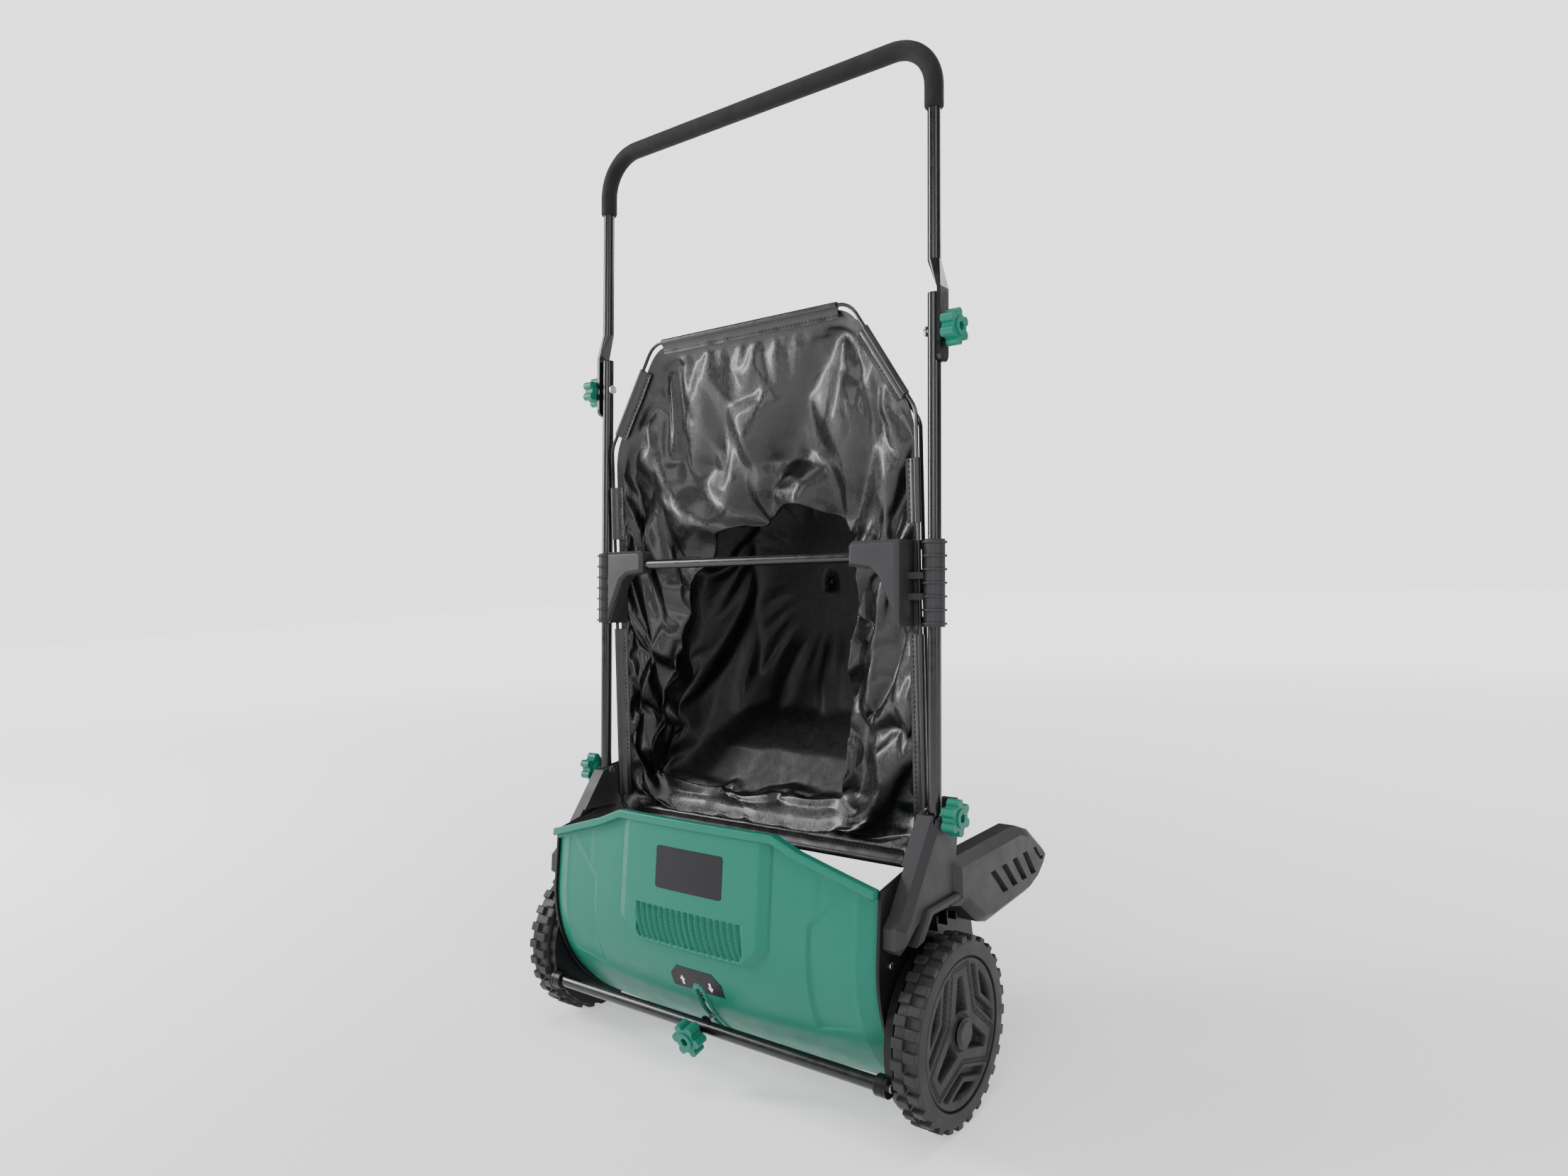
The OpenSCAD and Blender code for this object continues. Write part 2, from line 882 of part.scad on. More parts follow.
module upper_handle() {
    round_s = 650;
    flat_s = 616;
    color(black)
    in_handle() {
        handle_u(tube_r - tube_wall, tube_r, round_s);
        for (side = [-1, 1])
            sided(side) {
                hull() {
                    translate([tube_x, 0, round_s]) cylinder(r = tube_r, h = 1, $fn = 32);
                    translate([flat_x, -10, flat_s - 1]) cube([flat_t, 20, 1]);
                }
                difference() {
                    union() {
                        translate([flat_x, -10, fold_s - 29]) cube([flat_t, 20, flat_s - fold_s + 29]);
                        translate([0, 0, fold_s - 29]) rod_x(10, flat_x, flat_x + flat_t);
                    }
                    translate([0, 0, fold_s]) rod_x(bolt_r + run_gap, flat_x - 1, flat_x + flat_t + 1);
                }
            }
    }
}

module foam_grip() {
    color([0.05, 0.05, 0.05])
    in_handle() handle_u(tube_r + 0.1, foam_d / 2, 831);
}

// ---------- knobs ----------

// Star knob along Z: collar, six lobes, front boss with a hexagonal nut pocket
module knob() {
    color(green)
    difference() {
        union() {
            cylinder(r = 9, h = 5, $fn = 48);
            translate([0, 0, 4]) cylinder(r = 15.5, h = knob_t - 6, $fn = 64);
            for (i = [0:5])
                rotate([0, 0, 60 * i])
                    translate([16.2, 0, 4]) cylinder(r = 5.6, h = knob_t - 6, $fn = 32);
            translate([0, 0, knob_t - 4]) cylinder(r = 11, h = 4, $fn = 64);
        }
        translate([0, 0, -1]) cylinder(r = bolt_r + run_gap, h = knob_t, $fn = 48);
        translate([0, 0, knob_t - 7]) cylinder(r = 5.6, h = 8, $fn = 6);
    }
}

module knob_fold(side) {
    sided(side)
    in_handle()
    translate([flat_x + flat_t + 0.4, 0, fold_s]) rotate([0, 90, 0]) knob();
}
module knob_fold_left() { knob_fold(-1); }
module knob_fold_right() { knob_fold(1); }

module knob_pivot(side) {
    sided(side)
    translate([292.5, pivot_y, pivot_z]) rotate([0, 90, 0]) knob();
}
module knob_pivot_left() { knob_pivot(-1); }
module knob_pivot_right() { knob_pivot(1); }

module knob_height() {
    in_swing() translate([0, 0, bar_dist + tube_r + 4.6]) knob();
}

// ---------- one line per node ----------

front_cover();
label_plate();
height_scale_plate();
side_plate_left();
side_plate_right();
rear_ramp();
bracket_left();
bracket_right();
pivot_bolt_left();
pivot_bolt_right();
brush_bush_left();
brush_bush_right();
cover_screws();
swing_plate_left();
swing_plate_right();
stub_axle_left();
stub_axle_right();
crossbar();
end_boss_left();
end_boss_right();
boss_screws();
height_bolt();
height_washers();
wheel_left();
wheel_right();
ring_gear_left();
ring_gear_right();
hub_cap_left();
hub_cap_right();
wheel_bush_left();
wheel_bush_right();
pinion_left();
pinion_right();
brush_shaft();
brush_core();
bristles();
lower_tube_left();
lower_tube_right();
tube_caps();
clamp_left();
clamp_right();
cross_tube();
bag_front_frame();
bag_rear_frame();
bag();
bag_hem();
fold_bolt_left();
fold_bolt_right();
upper_handle();
foam_grip();
knob_fold_left();
knob_fold_right();
knob_pivot_left();
knob_pivot_right();
knob_height();
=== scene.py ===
"""Push lawn sweeper: the looks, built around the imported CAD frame.

The drawing units of the helpers are millimetres. X runs along the axle, -Y is the front and +Z is up.
"""

import json
import math

import bmesh
import bpy
import numpy as np
from mathutils import Matrix, Vector, noise


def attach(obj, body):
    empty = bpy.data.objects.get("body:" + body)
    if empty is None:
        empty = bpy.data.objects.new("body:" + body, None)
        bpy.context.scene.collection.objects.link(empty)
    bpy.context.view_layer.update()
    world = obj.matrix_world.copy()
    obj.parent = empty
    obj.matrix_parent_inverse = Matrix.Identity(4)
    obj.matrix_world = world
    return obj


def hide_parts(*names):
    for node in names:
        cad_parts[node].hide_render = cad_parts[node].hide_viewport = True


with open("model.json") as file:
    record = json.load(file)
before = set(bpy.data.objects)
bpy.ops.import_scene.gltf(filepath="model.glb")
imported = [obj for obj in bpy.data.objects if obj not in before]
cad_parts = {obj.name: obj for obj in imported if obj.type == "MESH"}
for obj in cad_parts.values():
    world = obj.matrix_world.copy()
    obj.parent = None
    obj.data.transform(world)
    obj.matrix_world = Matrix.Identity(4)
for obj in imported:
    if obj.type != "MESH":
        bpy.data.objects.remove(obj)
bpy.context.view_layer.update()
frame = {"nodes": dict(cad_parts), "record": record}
NODES = frame["nodes"]

MM = 0.001
PIVOT = Matrix.Translation((0, 19.5, 349))
TUBE_X = 278.0

# The handle's frame: Z along the tubes from the pivot. The bag's frame: Z up the mouth.
HANDLE = PIVOT @ Matrix.Rotation(math.radians(-3.93), 4, "X")
BAG = Matrix.Translation((0, 38, 620)) @ Matrix.Rotation(math.radians(-1.35), 4, "X")


# ---------- materials ----------


class Shader:
    """A material with a Principled shader and short calls for its nodes."""

    def __init__(self, name, colour, roughness, **sockets):
        self.mat = bpy.data.materials.new(name)
        self.mat.use_nodes = True
        self.mat.diffuse_color = (*colour, 1)
        self.nodes = self.mat.node_tree.nodes
        self.links = self.mat.node_tree.links
        self.bsdf = self.nodes["Principled BSDF"]
        self.set(self.bsdf, "Base Color", (*colour, 1))
        self.set(self.bsdf, "Roughness", roughness)
        for socket, value in sockets.items():
            self.set(self.bsdf, socket.replace("_", " "), value)
        self.colour, self.roughness = colour, roughness
        self.coords = self.add("ShaderNodeTexCoord").outputs["Object"]
        self.normal = None

    def add(self, kind, **props):
        node = self.nodes.new(kind)
        for key, value in props.items():
            setattr(node, key, value)
        return node

    def set(self, node, socket, value):
        if isinstance(value, bpy.types.NodeSocket):
            self.links.new(value, node.inputs[socket])
        else:
            node.inputs[socket].default_value = value

    def noise(self, scale, detail=3.0, distortion=0.0, stretch=None):
        node = self.add("ShaderNodeTexNoise")
        coords = self.coords
        if stretch:
            mapping = self.add("ShaderNodeMapping")
            self.set(mapping, "Vector", coords)
            self.set(mapping, "Scale", stretch)
            coords = mapping.outputs["Vector"]
        self.set(node, "Vector", coords)
        self.set(node, "Scale", scale)
        self.set(node, "Detail", detail)
        self.set(node, "Distortion", distortion)
        return node.outputs["Fac"]

    def waves(self, direction, period, distortion=0.6):
        """Bands square to an axis, one every period metres."""
        node = self.add("ShaderNodeTexWave", bands_direction=direction, wave_profile="SIN")
        self.set(node, "Vector", self.coords)
        self.set(node, "Scale", math.pi / 10 / period)
        self.set(node, "Distortion", distortion)
        self.set(node, "Detail Scale", 4.0)
        return node.outputs["Fac"]

    def math(self, operation, a, b):
        node = self.add("ShaderNodeMath", operation=operation)
        self.set(node, 0, a)
        self.set(node, 1, b)
        return node.outputs[0]

    def ranged(self, value, low, high, start=0.3, end=0.7):
        node = self.add("ShaderNodeMapRange")
        self.set(node, "Value", value)
        for socket, number in zip(("From Min", "From Max", "To Min", "To Max"), (start, end, low, high)):
            self.set(node, socket, number)
        return node.outputs["Result"]

    def vary_colour(self, value, amount):
        """Lighter and darker patches of the base colour."""
        node = self.add("ShaderNodeMix", data_type="RGBA")
        self.set(node, 0, value)
        dark = tuple(c * (1 - amount) for c in self.colour)
        light = tuple(min(1, c * (1 + amount) + 0.002) for c in self.colour)
        node.inputs[6].default_value = (*dark, 1)
        node.inputs[7].default_value = (*light, 1)
        self.links.new(node.outputs[2], self.bsdf.inputs["Base Color"])

    def vary_roughness(self, value, amount):
        self.set(self.bsdf, "Roughness", self.ranged(value, self.roughness - amount, self.roughness + amount))

    def bump(self, height, distance, strength=1.0):
        node = self.add("ShaderNodeBump")
        self.set(node, "Height", height)
        self.set(node, "Distance", distance)
        self.set(node, "Strength", strength)
        if self.normal:
            self.set(node, "Normal", self.normal)
        self.normal = node.outputs["Normal"]
        self.set(self.bsdf, "Normal", self.normal)


def moulded(name, colour, roughness, grain=0.00003, grain_scale=2600.0, patches=0.06, specular=0.22):
    """Injection-moulded plastic: fine spark texture, faint flow patches, uneven gloss."""
    shader = Shader(name, colour, roughness, Specular_IOR_Level=specular)
    shader.vary_colour(shader.noise(9.0, 4.0, 0.4), patches)
    shader.vary_roughness(shader.noise(38.0, 4.0), 0.06)
    shader.bump(shader.noise(7.0, 2.0), 0.0006, 0.35)
    shader.bump(shader.noise(grain_scale, 2.0), grain, 0.8)
    return shader.mat


def coated_steel(name, colour, roughness):
    """Gloss powder coat with orange peel and faint rub marks."""
    shader = Shader(name, colour, roughness, Specular_IOR_Level=0.35, Coat_Weight=0.25, Coat_Roughness=0.2)
    shader.vary_colour(shader.noise(30.0, 3.0), 0.15)
    shader.vary_roughness(shader.noise(55.0, 5.0, 0.6), 0.07)
    shader.bump(shader.noise(90.0, 2.0), 0.0001, 0.4)
    return shader.mat


def plated(name, colour, roughness):
    shader = Shader(name, colour, roughness, Metallic=1.0)
    shader.vary_colour(shader.noise(160.0, 4.0), 0.12)
    shader.vary_roughness(shader.noise(300.0, 3.0), 0.1)
    shader.bump(shader.noise(900.0, 2.0, 0.0, (1, 1, 6)), 0.00002, 0.5)
    return shader.mat


def woven_film(name, colour, roughness, thread=0.0013, specular=0.4, coat=0.2):
    """Coated tape weave: glossy, with a fine weave and soft dents."""
    shader = Shader(
        name, colour, roughness, Specular_IOR_Level=specular, Coat_Weight=coat, Coat_Roughness=0.16
    )
    weave = shader.math("MULTIPLY", shader.waves("X", thread, 1.2), shader.waves("Z", thread * 0.8, 1.2))
    streaks = shader.noise(210.0, 3.0, 0.4, (5.0, 1.0, 0.35))
    shader.vary_colour(shader.noise(24.0, 4.0), 0.3)
    shader.vary_roughness(shader.noise(70.0, 5.0, 0.5), 0.1)
    shader.bump(shader.noise(26.0, 3.0, 0.6), 0.0022, 0.5)
    shader.bump(streaks, 0.0005, 0.6)
    shader.bump(weave, 0.0002, 0.6)
    return shader.mat


def vinyl(name, colour, roughness):
    shader = Shader(name, colour, roughness)
    shader.vary_colour(shader.noise(28.0, 3.0), 0.2)
    shader.vary_roughness(shader.noise(45.0, 4.0), 0.08)
    shader.bump(shader.noise(55.0, 3.0, 0.5), 0.0008, 0.5)
    shader.bump(shader.noise(1500.0, 2.0), 0.00003, 0.7)
    return shader.mat


def closed_foam(name, colour, roughness):
    shader = Shader(name, colour, roughness, Specular_IOR_Level=0.2, Sheen_Weight=0.02, Sheen_Roughness=0.6)
    cells = shader.add("ShaderNodeTexVoronoi")
    shader.set(cells, "Vector", shader.coords)
    shader.set(cells, "Scale", 1100.0)
    shader.vary_colour(shader.noise(35.0, 4.0), 0.25)
    shader.vary_roughness(shader.noise(60.0, 4.0), 0.05)
    shader.bump(shader.noise(45.0, 3.0), 0.0012, 0.3)
    shader.bump(cells.outputs["Distance"], 0.0002, 0.5)
    return shader.mat


MATERIALS = {
    "green_plastic": moulded("green_plastic", (0.008, 0.135, 0.092), 0.36, patches=0.05),
    "label_film": moulded("label_film", (0.01, 0.009, 0.011), 0.38, grain=0.00001),
    "grey_plastic": moulded("grey_plastic", (0.026, 0.026, 0.028), 0.46, grain=0.00005),
    "wheel_plastic": moulded("wheel_plastic", (0.022, 0.022, 0.0235), 0.5, grain=0.00005),
    "black_plastic": moulded("black_plastic", (0.006, 0.006, 0.0065), 0.36),
    "black_tube": coated_steel("black_tube", (0.004, 0.004, 0.0045), 0.3),
    "zinc_steel": plated("zinc_steel", (0.6, 0.61, 0.63), 0.3),
    "gear_plastic": moulded("gear_plastic", (0.5, 0.5, 0.46), 0.45),
    "bronze": plated("bronze", (0.5, 0.36, 0.18), 0.38),
    "bristle": moulded("bristle", (0.012, 0.012, 0.012), 0.45),
    "bag_cloth": woven_film("bag_cloth", (0.003, 0.003, 0.0034), 0.25),
    "hem_vinyl": vinyl("hem_vinyl", (0.006, 0.006, 0.0065), 0.36),
    "foam": closed_foam("foam", (0.004, 0.004, 0.0042), 0.75),
}
# painted shade for the inside of the bag: the same woven film, darker, duller and with almost no coat
PAINTED_SHADE_FILM = woven_film("bag_painted_shade", (0.002, 0.002, 0.0022), 0.42, specular=0.24, coat=0.03)
PRINT_WHITE = moulded("print_white", (0.75, 0.75, 0.74), 0.5)
SLOT_OF = {part["node"]: part["material_slot"] for part in frame["record"]["subparts"]}


# ---------- mesh helpers ----------


def word_for(side):
    return "right" if side > 0 else "left"


def smooth_step(x):
    x = np.clip(x, 0.0, 1.0)
    return x * x * (3 - 2 * x)


def unit(v):
    return v / np.linalg.norm(v)


def inset(outline, distance):
    """A counter-clockwise outline moved inwards, with mitred corners."""
    pts = [np.array(p, float) for p in outline]
    moved = []
    for i, p in enumerate(pts):
        d0, d1 = unit(p - pts[i - 1]), unit(pts[(i + 1) % len(pts)] - p)
        n0, n1 = np.array([-d0[1], d0[0]]), np.array([-d1[1], d1[0]])
        moved.append(tuple(p + (n0 + n1) * distance / (1 + float(n0 @ n1))))
    return moved


def link_piece(obj, body, slot, material=None, replaces=()):
    bpy.context.collection.objects.link(obj)
    obj.data.materials.append(material or MATERIALS[slot])
    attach(obj, body)
    if replaces:
        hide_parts(*replaces)


def make_mesh(name, verts, faces, matrix=None, smooth=True):
    """A mesh object from millimetre points."""
    mesh = bpy.data.meshes.new(name)
    mesh.from_pydata([tuple(v) for v in verts], [], [tuple(f) for f in faces])
    if matrix is not None:
        mesh.transform(matrix)
    mesh.transform(Matrix.Scale(MM, 4))
    if matrix is not None and matrix.determinant() < 0:
        mesh.flip_normals()
    mesh.polygons.foreach_set("use_smooth", [smooth] * len(mesh.polygons))
    mesh.update()
    return bpy.data.objects.new(name, mesh)


def soften(obj, width, segments=2, angle=32, merge=False):
    """Rounded edges. CAD meshes are merged and their flat triangles joined first."""
    if merge:
        weld = obj.modifiers.new("weld", "WELD")
        weld.merge_threshold = 0.00001
        flat = obj.modifiers.new("flat", "DECIMATE")
        flat.decimate_type = "DISSOLVE"
        flat.angle_limit = math.radians(0.4)
    bevel = obj.modifiers.new("bevel", "BEVEL")
    bevel.width = width * MM
    bevel.segments = segments
    bevel.limit_method = "ANGLE"
    bevel.angle_limit = math.radians(angle)
    bevel.miter_outer = "MITER_ARC"
    bevel.harden_normals = True
    normals = obj.modifiers.new("normals", "WEIGHTED_NORMAL")
    normals.keep_sharp = True
    obj.data.polygons.foreach_set("use_smooth", [True] * len(obj.data.polygons))


def bake(obj):
    """The object's modifiers applied to a new mesh of its own."""
    graph = bpy.context.evaluated_depsgraph_get()
    mesh = bpy.data.meshes.new_from_object(obj.evaluated_get(graph))
    obj.modifiers.clear()
    obj.data = mesh


def combined(name, *objects):
    """One object from several that aren't linked to the scene yet."""
    bm = bmesh.new()
    for obj in objects:
        bm.from_mesh(obj.data)
    mesh = bpy.data.meshes.new(name)
    bm.to_mesh(mesh)
    bm.free()
    for obj in objects:
        bpy.data.objects.remove(obj)
    mesh.polygons.foreach_set("use_smooth", [True] * len(mesh.polygons))
    return bpy.data.objects.new(name, mesh)


def boolean(obj, operation, *others):
    """Exact union or difference, applied. The other objects are used up."""
    for o in (obj, *others):
        if o.name not in bpy.context.collection.objects:
            bpy.context.collection.objects.link(o)
    for other in others:
        mod = obj.modifiers.new("cut", "BOOLEAN")
        mod.operation, mod.solver, mod.object = operation, "EXACT", other
    bpy.context.view_layer.update()
    bake(obj)
    for o in others:
        bpy.data.objects.remove(o)
    bpy.context.collection.objects.unlink(obj)


def loft(name, rings, matrix=None):
    """A closed solid through rings of equally many points, capped at both ends."""
    n = len(rings[0])
    verts = [p for ring in rings for p in ring]
    faces = [
        (r * n + i, r * n + (i + 1) % n, (r + 1) * n + (i + 1) % n, (r + 1) * n + i)
        for r in range(len(rings) - 1)
        for i in range(n)
    ]
    faces.append(tuple(reversed(range(n))))
    faces.append(tuple((len(rings) - 1) * n + i for i in range(n)))
    return make_mesh(name, verts, faces, matrix)


def slab_x(name, outline, levels, side=1):
    """A (Y, Z) outline lofted along X. Levels are (x, inset) pairs; side -1 mirrors it."""
    rings = [[(x, y, z) for y, z in (inset(outline, d) if d else outline)] for x, d in levels]
    return loft(name, rings, Matrix.Scale(side, 4, (1, 0, 0)))


def lathe(name, profile, segments, matrix):
    """A ring from a closed (axial, radius) profile about the X axis."""
    n = len(profile)
    verts, faces = [], []
    for s in range(segments):
        a = 2 * math.pi * s / segments
        verts += [(x, r * math.cos(a), r * math.sin(a)) for x, r in profile]
        t = (s + 1) % segments
        faces += [(s * n + i, s * n + (i + 1) % n, t * n + (i + 1) % n, t * n + i) for i in range(n)]
    return make_mesh(name, verts, faces, matrix)


def swept(name, path, radii, sides, matrix):
    """A round tube along (X, Z) points in one plane, with a radius for each point."""
    pts = [np.array(p, float) for p in path]
    turns = [2 * math.pi * k / sides for k in range(sides)]
    rings = []
    for i, (p, radius) in enumerate(zip(pts, radii)):
        d = unit(pts[min(i + 1, len(pts) - 1)] - pts[max(i - 1, 0)])
        out = np.array([d[1], -d[0]])
        rings.append([
            (
                p[0] + out[0] * radius * math.cos(a),
                radius * math.sin(a),
                p[1] + out[1] * radius * math.cos(a),
            )
            for a in turns
        ])
    return loft(name, rings, matrix)


# ---------- front cover ----------

COVER_R, COVER_CZ, PLAN_R, COVER_FRONT = 180.0, 191.0, 2790.0, 110.0
COVER_HALF, WALL = 264.0, 2.5
TANGENT_A, LIP_A = math.radians(7.7), math.radians(65.7)
ARC_LEN = COVER_R * (TANGENT_A + LIP_A)
SLOT_W, RIM_W, ARCH_Z = 4.5, 10.5, 119.0
LIP_OUT = 10.0
PANEL_HALF, PANEL_Z, PANEL_CHAMFER = 123.0, 172.0, 29.0
RECESS_HALF, RECESS_LOW, RECESS_HIGH = 88.0, 178.0, 222.0
FIN_PITCH = 10.35
FACET_IN, FACET_OUT = 176, 238
LABEL_EDGES, LABEL_R, LABEL_BACK, LABEL_FACE = (-55, 55, 245, 297), 4, 6.1, 7.0


def cover_point(x, s, g):
    """The cover's surface at X, profile length s above the bottom lip, grown outwards by g."""
    x, s, g = np.broadcast_arrays(*(np.asarray(v, float) for v in (x, s, g)))
    a = np.minimum(s / COVER_R - LIP_A, TANGENT_A)
    up = np.maximum(s - ARC_LEN, 0)
    rho = PLAN_R - COVER_R + (COVER_R + g) * np.cos(a) - up * math.sin(TANGENT_A)
    z = COVER_CZ + (COVER_R + g) * np.sin(a) + up * math.cos(TANGENT_A)
    y = PLAN_R - COVER_FRONT - np.sqrt(rho * rho - x * x)
    return np.stack([x, y, z], -1)


def cover_s(z):
    """Profile length at height z on the plain surface."""
    tangent_z = COVER_CZ + COVER_R * math.sin(TANGENT_A)
    if z > tangent_z:
        return ARC_LEN + (z - tangent_z) / math.cos(TANGENT_A)
    return COVER_R * (math.asin((z - COVER_CZ) / COVER_R) + LIP_A)


def cover_top(x):
    return np.interp(np.abs(x), [126.6, 164, COVER_HALF], [331.6, 316.8, 288])


def panel_height(x, z):
    side = PANEL_HALF - np.abs(x)
    corner = (side * 26 + (z - 198) * PANEL_CHAMFER) / math.hypot(26, PANEL_CHAMFER)
    edge = np.minimum(np.minimum(side, z - PANEL_Z), corner)
    slope = np.minimum(np.minimum(side / 14, (z - PANEL_Z) / 5), corner / 9)
    return 1.4 * smooth_step(edge / 1.0) + 5.0 * np.clip(slope, 0, 1)


def louvres(x, z):
    """Depth of the recess, negative, with its slanted fins standing back up in it."""
    t = np.clip((z - RECESS_LOW) / (RECESS_HIGH - RECESS_LOW), 0, 1)
    corner = (RECESS_HALF - np.abs(x)) + (z - RECESS_LOW) - 7
    height = np.minimum(z - RECESS_LOW, RECESS_HIGH - z)
    edge = np.minimum(np.minimum(RECESS_HALF - np.abs(x), corner), height)
    inside = smooth_step(edge / 1.6)
    phase = ((x - 12 * (1 - t) ** 1.6) / FIN_PITCH) % 1.0
    fin = smooth_step(phase / 0.22) * (1 - smooth_step((phase - 0.34) / 0.3))
    return inside * (-4.6 + 4.2 * fin)


def side_facets(x, z):
    """The shallow facets left and right of the panel, and the turned-back end strips."""
    ax = np.abs(x)
    upper = 236 + (ax - FACET_IN) * 0.9 - z
    bottom = z - (112 + (ax - FACET_IN) * 0.2)
    edge = np.minimum(np.minimum(upper, bottom), np.minimum(ax - FACET_IN, FACET_OUT - ax))
    facet = smooth_step(edge / 2.0) * (-2.2 + 1.8 * np.clip((ax - FACET_IN) / 62, 0, 1))
    second = np.minimum(z - (244 + (ax - FACET_IN) * 0.9), np.minimum(ax - 186, FACET_OUT - ax))
    ridge = smooth_step(second / 2.0) * -0.9 * np.clip((FACET_OUT - ax) / 50, 0, 1)
    return facet + ridge - 0.2 * np.maximum(ax - 240, 0)


def slot_rim(x, z):
    """A raised arch around the height slot with a row of teeth along its inner edge."""
    over = np.maximum(z - ARCH_Z, 0)
    r = np.hypot(x, over)
    band = smooth_step((RIM_W - r) / 0.9)
    tooth = 0.5 + 0.5 * np.cos(2 * math.pi * z / 3.6)
    inner = smooth_step((7.4 - r) / 0.8) * (z < ARCH_Z + 2)
    return band * (2.0 - 1.3 * inner * tooth)


def cover_height(x, z):
    h = panel_height(x, z) + louvres(x, z) + slot_rim(x, z)
    return h + side_facets(x, z) * smooth_step((np.abs(x) - 128) / 6)


def spaced(*stretches):
    """Numbers along stretches given as (start, end, step), without repeats."""
    values = [np.linspace(a, b, max(2, round(abs(b - a) / step) + 1)) for a, b, step in stretches]
    return np.unique(np.round(np.concatenate(values), 4))


def build_cover():
    half = spaced(
        (0, 4.5, 0.75), (4.5, 12, 0.75), (12, 88, 1.3), (88, 128, 1.2), (128, 176, 3), (176, 182, 1.5),
        (182, 236, 3.6), (236, 242, 2), (242, COVER_HALF, 4.4),
    )
    cols = np.concatenate([-half[:0:-1], half])
    s60, s116, s125, s168, s226, s250 = (cover_s(z) for z in (60, 116, 125, 168, 226, 250))
    fixed = spaced(
        (0, s60, 3), (s60, s116, 0.9), (s116, s125, 0.75), (s125, s168, 3), (s168, s226, 1.2), (s226, s250, 3)
    )
    below_top = np.array([14.0, 12.0, 10.6, 10.0, 9.4, 8.0, 4.0, 1.2, 0.4, 0.0])
    lip = np.array([0, 0, 0, 0.94, 1, 1, 1, 1, 0.97, 0.9]) * LIP_OUT
    top_s = np.array([cover_s(z) for z in cover_top(cols)])
    between = np.linspace(fixed[-1], top_s - below_top[0], 14)[1:-1]
    s = np.concatenate([
        np.repeat(fixed[:, None], len(cols), 1), between, top_s[None, :] - below_top[:, None],
    ])
    x = np.repeat(cols[None, :], len(s), 0)
    z = cover_point(x, s, 0.0)[..., 2]
    h = cover_height(x, z)
    h[-len(lip):] = np.maximum(h[-len(lip):], lip[:, None])
    inner_g = np.minimum(-WALL, h - WALL * 1.1)
    inner_g[-len(lip):] = -WALL
    outer, inner = cover_point(x, s, h), cover_point(x, s, inner_g)
    rows, n = s.shape
    # vertices on the arch of the slot are moved onto its circle
    r = np.hypot(x, np.maximum(z - ARCH_Z, 0))
    near = (z > ARCH_Z) & (np.abs(r - SLOT_W) < 0.55) & (r > 0.1)
    for grid in (outer, inner):
        scale = np.where(near, SLOT_W / np.maximum(r, 0.1), 1.0)
        grid[..., 2] += np.where(near, (z - ARCH_Z) * (scale - 1), 0)
        grid[..., 0] *= scale
    cell_x = (x[:-1, :-1] + x[:-1, 1:]) / 2
    cell_z = (z[:-1, :-1] + z[1:, :-1]) / 2
    hole = np.hypot(cell_x, np.maximum(cell_z - ARCH_Z, 0)) < SLOT_W
    index = np.arange(rows * n).reshape(rows, n)
    back = rows * n
    faces = []
    for i in range(rows - 1):
        for j in range(n - 1):
            if hole[i, j]:
                continue
            a, b, c, d = index[i, j], index[i, j + 1], index[i + 1, j + 1], index[i + 1, j]
            faces.append((a, b, c, d))
            faces.append((d + back, c + back, b + back, a + back))
            if i == 0 or hole[i - 1, j]:
                faces.append((a, a + back, b + back, b))
            if i == rows - 2 or hole[i + 1, j]:
                faces.append((d, c, c + back, d + back))
            if j == 0 or hole[i, j - 1]:
                faces.append((a, d, d + back, a + back))
            if j == n - 2 or hole[i, j + 1]:
                faces.append((b, b + back, c + back, c))
    verts = np.concatenate([outer.reshape(-1, 3), inner.reshape(-1, 3)])
    cover = make_mesh("cover_shell", verts, faces)
    bm = bmesh.new()
    bm.from_mesh(cover.data)
    bmesh.ops.delete(bm, geom=[v for v in bm.verts if not v.link_faces], context="VERTS")
    for edge in bm.edges:
        if len(edge.link_faces) == 2 and edge.calc_face_angle(0) > math.radians(50):
            edge.smooth = False
    bm.to_mesh(cover.data)
    bm.free()
    link_piece(cover, "housing", "green_plastic", replaces=["front_cover"])


def cover_patch(name, outline, g0, g1, slot, material=None, replaces=()):
    """A thin plate of an (X, Z) outline, bent onto the cover."""
    step = 6.0
    bm = bmesh.new()
    bm.faces.new([bm.verts.new((x, 0, z)) for x, z in outline])
    spans = [(min(p[k] for p in outline), max(p[k] for p in outline)) for k in (0, 1)]
    for axis, (low, high) in zip(((1, 0, 0), (0, 0, 1)), spans):
        for cut in np.arange(low + step, high - 0.5, step):
            geom = bm.verts[:] + bm.edges[:] + bm.faces[:]
            bmesh.ops.bisect_plane(bm, geom=geom, plane_co=Vector(axis) * float(cut), plane_no=axis)
    made = bmesh.ops.extrude_face_region(bm, geom=bm.faces[:])
    top = {v for v in made["geom"] if isinstance(v, bmesh.types.BMVert)}
    for v in bm.verts:
        g = g1 if v in top else g0
        v.co = Vector(cover_point(v.co.x, cover_s(v.co.z), g))
    bmesh.ops.recalc_face_normals(bm, faces=bm.faces[:])
    mesh = bpy.data.meshes.new(name)
    bm.to_mesh(mesh)
    bm.free()
    mesh.transform(Matrix.Scale(MM, 4))
    obj = bpy.data.objects.new(name, mesh)
    soften(obj, 0.25, 1, 50)
    link_piece(obj, "housing", slot, material, replaces)


def rounded_rect(x0, x1, z0, z1, r):
    steps = 5
    centres = [(x1 - r, z0 + r, -90), (x1 - r, z1 - r, 0), (x0 + r, z1 - r, 90), (x0 + r, z0 + r, 180)]
    turns = [(cx, cz, math.radians(a + 90 * k / steps)) for cx, cz, a in centres for k in range(steps + 1)]
    return [(cx + r * math.cos(a), cz + r * math.sin(a)) for cx, cz, a in turns]


